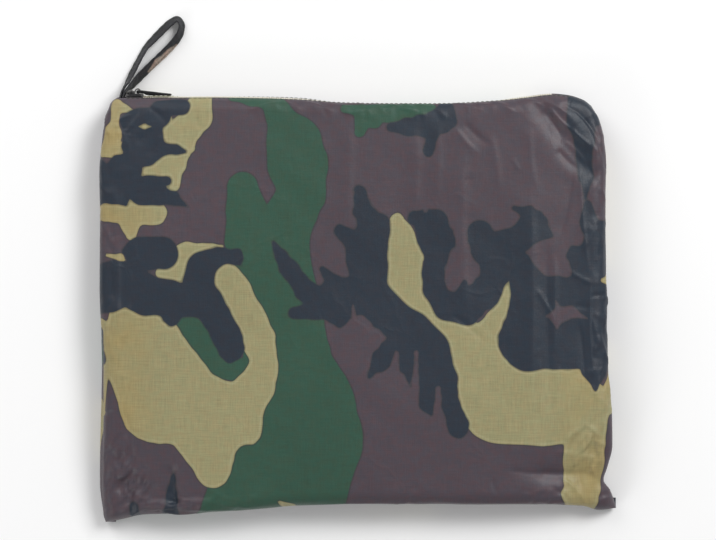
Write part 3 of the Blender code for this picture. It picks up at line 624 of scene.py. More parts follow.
@dataclass(frozen=True)
class PouchForm:
    """The filled pouch: where each panel lies, and the zip between them."""

    side_round: float = 9.0
    base_round: float = 8.0
    edge_height: float = 27.0
    crown_rise: float = 3.0
    crown_power: float = 2.5
    corners: tuple[tuple[float, float], ...] = ((10.0, 46.0), (12.0, 40.0), (3.0, 30.0), (3.5, 34.0))
    near_body: tuple[float, float] = (330.0, 268.0)
    zip_height: float = 14.0
    zip_tilt: float = math.radians(7.0)
    tape_setback: float = 2.0
    least_gap: float = 0.4
    far_density: float = 1.4
    far_reach: tuple[float, float] = (34.0, 16.0)

    def round_of(self, panel: Panel) -> float:
        """How far in from the outline a panel's quarter turn reaches."""
        return self.side_round if panel is Panel.FRONT else self.base_round

    def side_edge(self, side: Side, fraction: Array, panel: Panel) -> Array:
        """Points of a panel's edge at a seam."""
        table = SIDE_TABLES[side]
        along = table[0].along + (table[-1].along - table[0].along) * fraction
        out = smooth_through(table, "out", along)
        half_gap = smooth_through(table, "edge", along)
        height = smooth_through(table, "height", along) + panel.value * half_gap
        order = [along, out, height] if side is Side.BOTTOM else [out, along, height]
        return np.stack(order, axis=-1)

    def zip_edge(self, fraction: Array, panel: Panel) -> Array:
        """Points of a panel's turned edge at the zip."""
        along = ZIP_LINE[0].along + (ZIP_LINE[-1].along - ZIP_LINE[0].along) * fraction
        gap = np.maximum(smooth_through(ZIP_LINE, "gap", along), self.least_gap) * panel.value
        out = smooth_through(ZIP_LINE, "out", along) - gap * math.sin(self.zip_tilt)
        height = self.zip_height + gap * math.cos(self.zip_tilt)
        return np.stack([along, out, height], axis=-1)

    def zip_place(
        self, along: Array, across: Array, out: Array, seat: float | None = None
    ) -> Array:
        """Points measured along the zip, across it towards the front, and out from its tape.

        Args:
            along: Places along X.
            across: Distances towards the front panel.
            out: Distances from the tape.
            seat: Where a rigid piece sits; without it the points follow the zip's line.

        Returns:
            Points with x, y, z.
        """
        cos, sin = math.cos(self.zip_tilt), math.sin(self.zip_tilt)
        followed = along if seat is None else np.array([seat])
        line = smooth_through(ZIP_LINE, "out", followed) - self.tape_setback * cos
        y = line + out * cos - across * sin
        z = self.zip_height + out * sin + across * cos
        return np.stack(np.broadcast_arrays(along, y, z), axis=-1)

    def turn(self, fraction: Array, length: float, round_: float) -> Array:
        """How far round a side's quarter turn a point is, 0 at the seam.

        Its plan distance from the seam is the round times (1 - cos turn).
        """
        inset = np.minimum(fraction, 1.0 - fraction) * length
        return np.arccos(np.clip(1.0 - inset / round_, 0.0, 1.0))

    def stations(self, axis: int, panel: Panel, edge_steps: int, middle_steps: int) -> Array:
        """Fractions of a side: even steps of turn at both ends, and steps that shrink to the far end.

        Between the turns, the steps' density is 1 plus a bell about the far end, where the zip and
        the corner folds draw the finest creases.
        """
        length = self.near_body[axis]
        turn = np.linspace(0.0, math.pi / 2, edge_steps + 1)
        near = self.round_of(panel) * (1 - np.cos(turn)) / length
        fine = np.linspace(near[-1], 1 - near[-1], 2001)
        from_end = (fine[-1] - fine) * length / self.far_reach[axis]
        density = 1 + self.far_density * np.exp(-(from_end**2))
        total = np.cumsum(density) - density[0]
        middle = np.interp(np.linspace(0, total[-1], middle_steps + 1)[1:-1], total, fine)
        return np.concatenate([near, middle, 1 - near[::-1]])

    def face(self, across: Array, up: Array, panel: Panel, folded: bool = True) -> Array:
        """The outer face of a panel.

        The four edge curves span a smooth patch. Inside them the front rises to its crown, and the
        back falls to the surface, by the sine of the turn, and each side rolls out by the sine of
        twice it.

        Args:
            across: Fractions from the left side to the right.
            up: Fractions from the bottom to the zip.
            panel: Which panel.
            folded: Whether the front has its large folds.

        Returns:
            Points of the shape of across, with x, y, z.
        """
        ends = np.array([0.0, 1.0])
        left, right = self.side_edge(Side.LEFT, up, panel), self.side_edge(Side.RIGHT, up, panel)
        bottom, top = self.side_edge(Side.BOTTOM, across, panel), self.zip_edge(across, panel)
        low, high = self.side_edge(Side.BOTTOM, ends, panel), self.zip_edge(ends, panel)
        u, v = across[..., None], up[..., None]
        base = (1 - u) * left + u * right + (1 - v) * bottom + v * top
        base -= (1 - v) * ((1 - u) * low[0] + u * low[1]) + v * ((1 - u) * high[0] + u * high[1])
        turn_x = self.turn(across, self.near_body[0], self.round_of(panel))
        turn_y = self.turn(up, self.near_body[1], self.round_of(panel))
        rise = np.sin(turn_x) * np.sin(turn_y)
        front = panel is Panel.FRONT
        roll = "front_roll" if front else "back_roll"
        roll_x = np.where(
            across < 0.5,
            -smooth_through(LEFT_SEAM, roll, left[..., 1]),
            smooth_through(RIGHT_SEAM, roll, right[..., 1]),
        )
        roll_top = smooth_through(ZIP_LINE, roll, top[..., 0])
        roll_y = np.where(up < 0.5, -smooth_through(BOTTOM_SEAM, roll, bottom[..., 0]), roll_top)
        x = base[..., 0] + np.sin(2 * turn_x) * np.sin(turn_y) * roll_x
        y = base[..., 1] + np.sin(2 * turn_y) * np.sin(turn_x) * roll_y
        if not front:
            return np.stack([x, y, base[..., 2] * (1 - rise)], axis=-1)
        sideways, upward = (1 - np.abs(2 * part - 1) ** self.crown_power for part in (across, up))
        middle = sideways * upward
        crown = self.edge_height + self.crown_rise * middle
        for i, (drop, reach) in enumerate(self.corners):
            off_x = (across - i % 2) * self.near_body[0] / reach
            off_y = (up - i // 2) * self.near_body[1] / reach
            crown = crown - drop * np.exp(-(off_x**2) - off_y**2)
        z = base[..., 2] + (crown - base[..., 2]) * rise
        if folded:
            z = z + rise * self.fold_height(x, y)
        return np.stack([x, y, z], axis=-1)

    def fold_height(self, x: Array, y: Array) -> Array:
        """The sum of the large folds: each a bell across its line that fades past its ends."""
        total = np.zeros_like(x)
        for fold in FRONT_FOLDS:
            along, beside, length = from_line(x, y, fold)
            past = along - np.clip(along, 0.0, length)
            total += fold.depth * np.exp(-(beside**2 + past**2) / fold.width**2)
        return total


def surface_normals(points: Array, sign: int = 1) -> Array:
    """Unit normals of a grid of points: the cross product of its two directions."""
    return sign * unit(np.cross(np.gradient(points, axis=0), np.gradient(points, axis=1)))


def cloth_coordinates(points: Array) -> Array:
    """The cloth's own coordinates of a grid: arc lengths each way from its middle point.

    Args:
        points: A grid of points, first way along X and second along Y.

    Returns:
        Two lengths a point, that agree with x and y at the grid's middle.
    """
    rows, columns = points.shape[0] // 2, points.shape[1] // 2
    step_x = np.linalg.norm(np.diff(points, axis=0), axis=-1)
    step_y = np.linalg.norm(np.diff(points, axis=1), axis=-1)
    s = np.concatenate([np.zeros((1, points.shape[1])), np.cumsum(step_x, axis=0)])
    t = np.concatenate([np.zeros((points.shape[0], 1)), np.cumsum(step_y, axis=1)], axis=1)
    s += points[rows, :, 0] - s[rows, :]
    t += (points[:, columns, 1] - t[:, columns])[:, None]
    return np.stack([s, t], axis=-1)


@dataclass
class CreaseField:
    """The cloth's creases: those listed, fine seeded ones by the edges, and soft waves."""

    placed: tuple[Crease, ...]
    seed: int
    crumples: tuple[Crumple, ...] = ()
    gain: float = 1.7
    tallest: float = 1.9
    edge_count: int = 70
    zip_puckers: int = 30
    wave_height: float = 0.16
    sharp: float = 1.2
    soft: float = 1.4
    spread: float = 1.8
    edge_lengths: Range = (7, 20)
    edge_widths: Range = (0.9, 2.0)
    edge_heights: Range = (0.12, 0.34)
    patch_reaches: Range = (4, 11)
    patch_widths: Range = (0.6, 1.3)
    pucker_reaches: Range = (9, 17)
    pucker_widths: Range = (0.8, 1.6)
    pucker_heights: Range = (0.09, 0.24)
    wave_lengths: tuple[int, ...] = (120, 90, 64, 48, 37, 27, 21)

    def edge_creases(self) -> list[Crease]:
        """Short fine creases that run in from the sides, in seeded places."""
        rng = np.random.default_rng(self.seed)
        made = []
        for _ in range(self.edge_count):
            side = rng.integers(0, 3)
            if side == 2:
                start = np.array([rng.uniform(-160, 160), -rng.uniform(140, 162)])
                heading = rng.uniform(40, 140)
            else:
                sign = -1 if side == 0 else 1
                start = np.array([sign * rng.uniform(150, 172), rng.uniform(-150, 104)])
                heading = (0 if side == 0 else 180) + rng.uniform(-60, 60)
            turn = math.radians(heading)
            end = start + rng.uniform(*self.edge_lengths) * np.array([math.cos(turn), math.sin(turn)])
            width, bow = rng.uniform(*self.edge_widths), rng.uniform(-2, 2)
            height = rng.uniform(*self.edge_heights) * rng.choice([-1, 1])
            far = width * rng.uniform(1.0, 2.2)
            made.append(Crease(*start, *end, bow, width, far, height, self.soft))
        return made

    def crumpled(self) -> list[Crease]:
        """The creases of each crumpled patch, in seeded places near one heading."""
        rng = np.random.default_rng(self.seed + 3)
        made = []
        for patch in self.crumples:
            for _ in range(patch.count):
                x = rng.normal(patch.x, patch.across / self.spread)
                y = rng.normal(patch.y, patch.up / self.spread)
                heading = math.radians(patch.heading + rng.normal(0, 22))
                reach = rng.uniform(*self.patch_reaches)
                run, rise = reach * math.cos(heading), reach * math.sin(heading)
                width = rng.uniform(*self.patch_widths)
                height = patch.height * rng.uniform(0.3, 1.0)
                bow, far = rng.uniform(-1.5, 1.5), rng.uniform(1.2, 2.6) * width
                height *= rng.choice([-0.7, 1])
                ends = (x - run, y - rise, x + run, y + rise)
                made.append(Crease(*ends, bow, width, far, height, self.sharp))
        return made

    def puckers(self) -> list[Crease]:
        """Slanting puckers that the zip's stitching draws up."""
        rng = np.random.default_rng(self.seed + 1)
        made = []
        for x in np.linspace(-140, 138, self.zip_puckers):
            x += rng.uniform(-4, 4)
            strength = 0.5 + 0.9 * math.exp(-(((x - 20) / 80) ** 2))
            lean = rng.uniform(-4, 12)
            reach = rng.uniform(*self.pucker_reaches) * (0.6 + 0.4 * strength)
            height = rng.uniform(*self.pucker_heights) * strength * rng.choice([-1, 1])
            width, bow = rng.uniform(*self.pucker_widths), rng.uniform(-1, 1)
            top = 117 - 4 * strength
            ends = (x, top, x + lean, top - reach)
            made.append(Crease(*ends, bow, width, 1.7 * width, height, self.soft))
        return made

    def height(self, cloth: Array) -> Array:
        """How far the creases lift the cloth.

        Across a crease's bowed line the lift is exp(-(distance / width) to its power); it eases in
        and out along the line. The sum is held below the tallest by its hyperbolic tangent.

        Args:
            cloth: The cloth's own coordinates.

        Returns:
            The lift of each point, in millimetres.
        """
        s, t = cloth[..., 0], cloth[..., 1]
        total = np.zeros_like(s)
        for crease in (*self.placed, *self.edge_creases(), *self.crumpled(), *self.puckers()):
            along, beside, length = from_line(s, t, crease)
            along = along / length
            beside = beside - crease.bow * 4 * along * (1 - along)
            width = np.where(beside > 0, crease.near, crease.far)
            bell = np.exp(-((np.abs(beside) / width) ** crease.power))
            ease = smoothstep((along + 0.05) / 0.25) * smoothstep((1.05 - along) / 0.45)
            total += crease.height * bell * ease
        return self.tallest * np.tanh(total * self.gain / self.tallest) + self.waves(s, t)

    def waves(self, s: Array, t: Array) -> Array:
        """Soft unevenness: a sum of long sine waves in seeded directions."""
        rng = np.random.default_rng(self.seed + 2)
        total = np.zeros_like(s)
        longest = self.wave_lengths[0]
        for length in self.wave_lengths:
            total += seeded_wave(rng, s, t, length) * self.wave_height * (length / longest) ** 0.9
        return total


# For green, tan, black and the cuts in the black: the edge's seed, its longest ripple in
# millimetres, and how much of the ripples it shows.
EDGE_RIPPLES = ((11, 46, 1.0), (23, 34, 1.0), (37, 30, 1.0), (41, 20, 0.4))
PRINT_MARKS = {"Green edge": "green_edge", "Tan edge": "tan_edge", "Black edge": "black_edge"}


@dataclass
class CamouflagePrint:
    """The cloth's print: strokes of green, tan and black on a brown ground."""

    green: tuple[Stroke, ...]
    tan: tuple[Stroke, ...]
    black: tuple[Stroke, ...]
    black_cuts: tuple[Stroke, ...]
    blend: float = 0.9
    wobble: float = 1.1
    all_black: bool = False
    ripple: float = 0.22
    scallop: float = 0.5
    scatter: float = 70.0
    nothing: float = 1e-30

    def distance(self, strokes: Sequence[Stroke], s: Array, t: Array) -> Array:
        """How far points lie outside strokes, below 0 inside.

        A stroke's distance is that to the nearest point of its line less the radius there. The
        strokes run into each other by minus the log of the sum of exp(-distance).

        Args:
            strokes: The strokes.
            s: Places across the cloth.
            t: Places up the cloth.

        Returns:
            The distance of each point, in millimetres.
        """
        total = np.full(s.shape, self.nothing)
        for stroke in strokes:
            dx, dy = stroke.x1 - stroke.x0, stroke.y1 - stroke.y0
            share = ((s - stroke.x0) * dx + (t - stroke.y0) * dy) / (dx * dx + dy * dy)
            share = np.clip(share, 0, 1)
            radius = stroke.r0 + (stroke.r1 - stroke.r0) * share
            away = np.hypot(s - stroke.x0 - share * dx, t - stroke.y0 - share * dy) - radius
            total += np.exp(-np.clip(away, -60, 90) / self.blend)
        return -self.blend * np.log(total)

    def unevenness(self, s: Array, t: Array, seed: int, long: float) -> Array:
        """Seeded ripples of a stroke's edge: long ones, and short scallops that come and go."""
        rng = np.random.default_rng(seed)
        total, short, share = np.zeros_like(s), np.zeros_like(s), np.zeros_like(s)
        waves = ((1.0, total), (0.7, total), (0.3, short), (0.22, short))
        for part, sums in (*waves, (self.scatter / long, share)):
            for _ in range(2):
                sums += seeded_wave(rng, s, t, long * part) * part**0.6
        scallops = short * smoothstep(share / np.ptp(share) + 0.45)
        return self.wobble * (self.ripple * total + self.scallop * scallops)

    def marks(self, s: Array, t: Array) -> dict[str, Array]:
        """The distance from each colour's edge, for the finish to read."""
        layers = zip((self.green, self.tan, self.black, self.black_cuts), EDGE_RIPPLES)
        green, tan, black, cut = (
            self.distance(strokes, s, t) + self.unevenness(s, t, seed, long) * share
            for strokes, (seed, long, share) in layers
        )
        if self.all_black:
            black = np.full_like(s, -9.0)
        return dict(zip(PRINT_MARKS.values(), (green, tan, np.maximum(black, -cut))))


CLOTH_PRINT = CamouflagePrint(GREEN_STROKES, TAN_STROKES, BLACK_STROKES, BLACK_CUTS)
STRAP_PRINT = CamouflagePrint((), (), (), STRAP_BROWN, blend=1.2, wobble=0.8, all_black=True)


# The print's edges, in millimetres: their blur, the dark line along them and the pale halo beyond.
EDGE_BLUR = 0.22
LINE_OFFSET, LINE_EASE = 0.25, (0.1, 0.75)
LINE_WEIGHTS = (("Green", 0.55, ("Tan", "Black")), ("Tan", 0.55, ("Black",)), ("Black", 0.5, ()))
LINE_COLOUR: Colour = (0.030, 0.034, 0.036)
HALO_OFFSET, HALO_EASE, HALO_SHARE = 1.5, (0.1, 0.9), 0.10
HALO_COLOUR: Colour = (0.62, 0.58, 0.40)
# How fine the threads' uneven streaks are, across them and along them, per metre.
STREAKS = (1700.0, 75.0)


class NodeKit:
    """A node tree and short ways to add to it."""

    def __init__(self, tree: bpy.types.NodeTree) -> None:
        """Keep the tree."""
        self.tree = tree

    def node(self, kind: str, inputs: dict | None = None, **settings: object) -> bpy.types.Node:
        """Add a node.

        Args:
            kind: Blender's name for the node's type.
            inputs: A value or an output socket for each input, by name or number.
            settings: The node's own settings.

        Returns:
            The node.
        """
        made = self.tree.nodes.new(kind)
        for key, value in settings.items():
            setattr(made, key, value)
        return self.feed(made, inputs or {})

    def feed(self, node: bpy.types.Node, inputs: dict) -> bpy.types.Node:
        """Link output sockets to a node's inputs, or set the inputs' values."""
        for key, value in inputs.items():
            if isinstance(value, Socket):
                self.tree.links.new(value, node.inputs[key])
            else:
                node.inputs[key].default_value = value
        return node

    def math(self, operation: str, *values: object) -> Socket:
        """The result of a sum on values or sockets."""
        return self.node("ShaderNodeMath", dict(enumerate(values)), operation=operation).outputs[0]

    def times(self, first: object, second: object) -> Socket:
        """The product of two values."""
        return self.math("MULTIPLY", first, second)

    def plus(self, first: object, second: object) -> Socket:
        """The sum of two values."""
        return self.math("ADD", first, second)

    def less(self, first: object, second: object) -> Socket:
        """The first value less the second."""
        return self.math("SUBTRACT", first, second)

    def rest(self, value: object) -> Socket:
        """What is left of 1 without the value."""
        return self.less(1.0, value)

    def size(self, value: object) -> Socket:
        """The value without its sign."""
        return self.math("ABSOLUTE", value)

    def mix(self, share: object, first: object, second: object) -> Socket:
        """A mix of two colours."""
        colours = {6: first, 7: second}
        inputs = {i: (*c, 1.0) if isinstance(c, tuple) else c for i, c in colours.items()}
        return self.node("ShaderNodeMix", {0: share, **inputs}, data_type="RGBA").outputs[2]

    def noise(self, vector: object, scale: float, detail: float = 2.0, roughness: float = 0.5) -> Socket:
        """The value of a noise texture."""
        inputs = {"Vector": vector, "Scale": scale, "Detail": detail, "Roughness": roughness}
        return self.node("ShaderNodeTexNoise", inputs).outputs["Fac"]

    def stretched(self, vector: object, scale: tuple[float, float, float]) -> Socket:
        """A vector with each part multiplied by its own factor."""
        return self.node("ShaderNodeMapping", {"Vector": vector, "Scale": scale}).outputs[0]

    def scaled(self, vector: object, factor: object) -> Socket:
        """A vector or colour multiplied by one factor."""
        inputs = {0: vector, "Scale": factor}
        return self.node("ShaderNodeVectorMath", inputs, operation="SCALE").outputs[0]

    def parts(self, vector: object) -> Sequence[Socket]:
        """A vector's x, y and z."""
        return self.node("ShaderNodeSeparateXYZ", {0: vector}).outputs

    def object_place(self) -> Socket:
        """Object coordinates, in metres."""
        return self.node("ShaderNodeTexCoord").outputs["Object"]

    def cloth_place(self) -> Socket:
        """The cloth's own coordinates, in metres."""
        return self.node("ShaderNodeUVMap", uv_map="cloth").outputs[0]

    def bump(self, height: object, depth: float, **under: object) -> Socket:
        """A normal bent by a height; depth is in metres, and under is the normal below it."""
        inputs = {"Height": height, "Distance": depth, **under}
        return self.node("ShaderNodeBump", inputs).outputs[0]

    def ease(self, value: object, low: float, high: float) -> Socket:
        """0 at low to 1 at high, clamped."""
        inputs = {"Value": value, "From Min": low, "From Max": high}
        return self.node("ShaderNodeMapRange", inputs, clamp=True).outputs["Result"]


@dataclass
class EffectGroups:
    """The node groups that the finishes share, each built once."""

    made: dict[str, bpy.types.NodeTree] = field(default_factory=dict)

    def start(
        self, name: str, inputs: dict[str, str], outputs: dict[str, str]
    ) -> tuple[NodeKit, bpy.types.bpy_prop_collection, bpy.types.Node]:
        """A new group with named sockets.

        Args:
            name: The group's name.
            inputs: Each input's name and whether it is a "Float", "Vector" or "Color".
            outputs: The same for its outputs.

        Returns:
            A kit for the group's tree, its inputs as sockets to read, and its output node to feed.
        """
        tree = self.made[name] = bpy.data.node_groups.new(name, "ShaderNodeTree")
        for way, sockets in (("INPUT", inputs), ("OUTPUT", outputs)):
            for key, kind in sockets.items():
                tree.interface.new_socket(name=key, in_out=way, socket_type="NodeSocket" + kind)
        kit = NodeKit(tree)
        return kit, kit.node("NodeGroupInput").outputs, kit.node("NodeGroupOutput")

    def use(self, kit: NodeKit, name: str, inputs: dict) -> bpy.types.bpy_prop_collection:
        """Place a group in a material with its own values, and give its outputs."""
        if name not in self.made:
            getattr(self, "build_" + name)()
        return kit.feed(kit.node("ShaderNodeGroup", node_tree=self.made[name]), inputs).outputs

    def build_camouflage(self) -> None:
        """Four colours laid one over the next where the marks say, with a fine dark line between."""
        colours = {name: "Color" for name in ("Ground", "Green", "Tan", "Black")}
        inputs = {**{label: "Float" for label in PRINT_MARKS}, **colours}
        outputs = {"Colour": "Color", "Pale": "Float"}
        kit, have, give = self.start("camouflage", inputs, outputs)
        masks = {}
        colour = have["Ground"]
        for name in ("Green", "Tan", "Black"):
            masks[name] = kit.rest(kit.ease(have[name + " edge"], -EDGE_BLUR, EDGE_BLUR))
            colour = kit.mix(masks[name], colour, have[name])
        line = None
        for name, weight, covered_by in LINE_WEIGHTS:
            near = kit.less(have[name + " edge"], LINE_OFFSET)
            band = kit.times(kit.rest(kit.ease(kit.size(near), *LINE_EASE)), weight)
            for other in covered_by:
                band = kit.times(band, kit.rest(masks[other]))
            line = band if line is None else kit.math("MAXIMUM", line, band)
        colour = kit.mix(line, colour, LINE_COLOUR)
        nearest = kit.math("MINIMUM", have["Black edge"], kit.size(have["Tan edge"]))
        halo = kit.rest(kit.ease(kit.size(kit.less(nearest, HALO_OFFSET)), *HALO_EASE))
        pale = kit.times(masks["Tan"], kit.rest(masks["Black"]))
        colour = kit.mix(kit.times(kit.times(halo, pale), HALO_SHARE), colour, HALO_COLOUR)
        kit.feed(give, {"Colour": colour, "Pale": pale})

    def build_weave(self) -> None:
        """Two sets of threads that pass over and under, with uneven thick ones."""
        inputs = {"Cloth": "Vector", "Threads": "Float"}
        kit, have, give = self.start("weave", inputs, {"Height": "Float", "Shade": "Float"})
        turned = kit.parts(kit.scaled(have["Cloth"], have["Threads"]))
        waves = [kit.math("SINE", kit.times(part, 2 * math.pi)) for part in turned[:2]]
        streaky = ((STREAKS[0], STREAKS[1], 1.0), (STREAKS[1], STREAKS[0], 1.0))
        warp, weft = (kit.noise(kit.stretched(have["Cloth"], by), 1.0, 3.0, 0.6) for by in streaky)
        streaks = kit.less(kit.plus(warp, weft), 1.0)
        height = kit.plus(kit.times(kit.times(*waves), 0.35), kit.times(streaks, 1.6))
        kit.feed(give, {"Height": height, "Shade": streaks})

    def build_crinkle(self) -> None:
        """Fine creases of coated cloth: the borders of bent cells, and a soft unevenness."""
        inputs = {"Cloth": "Vector", "Scale": "Float"}
        kit, have, give = self.start("crinkle", inputs, {"Height": "Float"})
        bent = {"Vector": have["Cloth"], "Scale": 34.0, "Detail": 2.0}
        shift = kit.scaled(kit.node("ShaderNodeTexNoise", bent).outputs["Color"], 0.035)
        place = kit.node("ShaderNodeVectorMath", {0: have["Cloth"], 1: shift}, operation="ADD")
        cells = {"Vector": place.outputs[0], "Scale": have["Scale"]}
        cells = kit.node("ShaderNodeTexVoronoi", cells, feature="DISTANCE_TO_EDGE")
        border = kit.ease(cells.outputs["Distance"], 0.0, 0.12)
        kept = kit.ease(kit.noise(have["Cloth"], 16.0, 2.0), 0.48, 0.66)
        ridge = kit.times(kit.rest(border), kept)
        soft = kit.noise(have["Cloth"], 85.0, 3.0, 0.55)
        kit.feed(give, {"Height": kit.plus(kit.times(ridge, 0.5), soft)})

    def build_edge_wear(self) -> None:
        """Where a corner stands proud, broken up by noise."""
        inputs = {"Place": "Vector", "Amount": "Float"}
        kit, have, give = self.start("edge_wear", inputs, {"Worn": "Float"})
        proud = kit.node("ShaderNodeNewGeometry").outputs["Pointiness"]
        chips = kit.noise(have["Place"], 900.0, 3.0, 0.6)
        total = kit.plus(kit.times(kit.less(proud, 0.5), 5.0), kit.times(chips, 0.5))
        kit.feed(give, {"Worn": kit.times(kit.ease(total, 0.36, 0.62), have["Amount"])})


GROUPS = EffectGroups()


@dataclass(frozen=True)
class Finish:
    """What every finish has: its name and its shader's constants."""

    name: str
    roughness: float

    def start(self) -> tuple[bpy.types.Material, NodeKit, bpy.types.Node]:
        """A material with a Principled shader, a kit for its tree, and the shader."""
        material = bpy.data.materials.new(self.name)
        material.use_nodes = True
        kit = NodeKit(material.node_tree)
        shader = kit.feed(kit.tree.nodes["Principled BSDF"], {"Roughness": self.roughness})
        return material, kit, shader


@dataclass(frozen=True)
class CamouflageFinish(Finish):
    """Printed nylon with a thin rain-proof coating."""

    ground: Colour = (0.069, 0.053, 0.066)
    green: Colour = (0.030, 0.078, 0.052)
    tan: Colour = (0.300, 0.262, 0.135)
    black: Colour = (0.020, 0.028, 0.042)
    # Painted highlight: the golden tan that the tan takes on near the sides, where light catches them.
    side_highlight_gold: Colour = (0.34, 0.245, 0.092)
    cool_mottle: Colour = (0.95, 1.02, 1.03)
    warm_mottle: Colour = (1.10, 0.97, 0.94)
    # How strong the painted side highlight is, and the distance from the middle, in metres, over which
    # it comes in.
    side_highlight_share: float = 0.6
    side_highlight_from: tuple[float, float] = (0.126, 0.152)
    threads: float = 2200.0
    thread_contrast: float = 0.34
    weave_height: float = 0.00003
    crinkle_height: float = 0.00028
    crinkle_scale: float = 42.0

    def build(self) -> bpy.types.Material:
        """Make the material.

        Returns:
            The material; it reads the cloth's own coordinates and the marks of its print.
        """
        material, kit, shader = self.start()
        cloth = kit.cloth_place()
        dyes = {"Ground": self.ground, "Green": self.green, "Tan": self.tan, "Black": self.black}
        inputs = {key: (*value, 1.0) for key, value in dyes.items()}
        for label, mark in PRINT_MARKS.items():
            inputs[label] = kit.node("ShaderNodeAttribute", attribute_name=mark).outputs["Fac"]
        shown = GROUPS.use(kit, "camouflage", inputs)
        pale = shown["Pale"]
        weave = GROUPS.use(kit, "weave", {"Cloth": cloth, "Threads": self.threads})
        crinkle = GROUPS.use(kit, "crinkle", {"Cloth": cloth, "Scale": self.crinkle_scale})
        strength = kit.plus(kit.times(pale, 0.18), self.thread_contrast)
        patchy = kit.times(kit.less(kit.noise(cloth, 9.0, 3.0), 0.5), 0.22)
        bright = kit.plus(kit.plus(kit.times(weave["Shade"], strength), patchy), 1.0)
        warm = kit.ease(kit.noise(cloth, 190.0, 3.0, 0.6), 0.40, 0.62)
        warm = kit.times(warm, kit.rest(kit.times(pale, 0.6)))
        mottle = {0: shown["Colour"], 1: kit.mix(warm, self.cool_mottle, self.warm_mottle)}
        mottled = kit.node("ShaderNodeVectorMath", mottle, operation="MULTIPLY").outputs[0]
        # Painted highlight: the tan turns golden towards the left and right sides, in noisy patches,
        # standing in for light on the sides.
        by_sides = kit.ease(kit.size(kit.parts(cloth)[0]), *self.side_highlight_from)
        side_highlight = kit.times(by_sides, kit.ease(kit.noise(cloth, 26.0, 4.0), 0.36, 0.62))
        side_highlight = kit.times(kit.times(side_highlight, pale), self.side_highlight_share)
        gloss = kit.times(kit.less(kit.noise(cloth, 30.0, 3.0), 0.5), 0.14)
        gloss = kit.plus(gloss, kit.times(pale, 0.05))
        fine = kit.bump(weave["Height"], self.weave_height)
        kit.feed(shader, {
            "Base Color": kit.scaled(kit.mix(side_highlight, mottled, self.side_highlight_gold), bright),
            "Roughness": kit.plus(gloss, self.roughness),
            "Normal": kit.bump(crinkle["Height"], self.crinkle_height, Normal=fine),
            "Specular IOR Level": 0.34,
            "Sheen Weight": 0.02,
            "Sheen Roughness": 0.4,
        })
        return material


@dataclass(frozen=True)
class TapeFinish(Finish):
    """Ribbed woven zip tape."""

    colour: Colour = (0.78, 0.74, 0.62)
    # The darker tone: painted shade along the ribs, and the thread streaks' own tone.
    rib_shade_and_streak: Colour = (0.52, 0.48, 0.38)
    pitches: tuple[float, float] = (0.0007, 0.0009)

    def build(self) -> bpy.types.Material:
        """Make the material: ribs across the tape, and thread streaks along it."""
        material, kit, shader = self.start()
        cloth = kit.cloth_place()
        pitched = zip(kit.parts(cloth)[:2], self.pitches)
        ribs, rows = (kit.math("SINE", kit.times(part, 2 * math.pi / each)) for part, each in pitched)
        height = kit.plus(ribs, kit.times(rows, 0.6))
        streak = kit.noise(kit.stretched(cloth, (90.0, 1400.0, 1.0)), 1.0, 2.0)
        # The colour darkens with the ribs' relief, a painted shade, and with the thread streaks, the
        # tape's own uneven weave.
        share = kit.plus(kit.times(height, 0.16), kit.times(streak, 0.5))
        colour = kit.mix(share, self.colour, self.rib_shade_and_streak)
        kit.feed(shader, {"Base Color": colour, "Normal": kit.bump(height, 0.00005)})
        return material


@dataclass(frozen=True)
class CoilFinish(Finish):
    """Moulded nylon filament, or sewing thread."""

    colour: Colour = (0.82, 0.79, 0.68)
    speck: Colour = (0.62, 0.58, 0.47)
    grain: float = 700.0

    def build(self) -> bpy.types.Material:
        """Make the material: a plain colour with a little grime and grain."""
        material, kit, shader = self.start()
        place = kit.object_place()
        grime = kit.ease(kit.noise(place, 120.0, 4.0, 0.6), 0.35, 0.75)
        colour = kit.mix(kit.times(grime, 0.5), self.colour, self.speck)
        grain = kit.bump(kit.noise(place, self.grain, 2.0), 0.00004)
        kit.feed(shader, {"Base Color": colour, "Normal": grain})
        return material


@dataclass(frozen=True)
class EnamelFinish(Finish):
    """Black enamel over zinc, worn at its corners."""

    enamel: Colour = (0.006, 0.006, 0.007)
    metal: Colour = (0.42, 0.41, 0.40)
    wear: float = 0.4

    def build(self) -> bpy.types.Material:
        """Make the material: enamel, with bare metal where the edge wear is."""
        material, kit, shader = self.start()
        place = kit.object_place()
        worn = GROUPS.use(kit, "edge_wear", {"Place": place, "Amount": self.wear})["Worn"]
        kit.feed(shader, {
            "Base Color": kit.mix(worn, self.enamel, self.metal),
            "Metallic": worn,
            "Roughness": kit.plus(kit.times(kit.noise(place, 260.0, 3.0), 0.25), self.roughness),
            "Specular IOR Level": 0.3,
            "Normal": kit.bump(kit.noise(place, 500.0, 3.0), 0.00003),
        })
        return material


@dataclass(frozen=True)
class FloorFinish(Finish):
    """The plain pale floor."""

    colour: Colour = (0.94, 0.94, 0.94)

    def build(self) -> bpy.types.Material:
        """Make the material: a pale colour with a very faint mottle."""
        material, kit, shader = self.start()
        darker = tuple(part * 0.985 for part in self.colour)
        colour = kit.mix(kit.noise(kit.object_place(), 3.0), self.colour, darker)
        kit.feed(shader, {"Base Color": colour})
        return material


STRAP_DYES = {
    "ground": (0.33, 0.26, 0.215), "black": (0.015, 0.016, 0.020),
    "weave_height": 0.00006, "thread_contrast": 1.5,
}
THREAD_DYES: tuple[Colour, Colour] = ((0.055, 0.075, 0.05), (0.03, 0.04, 0.03))


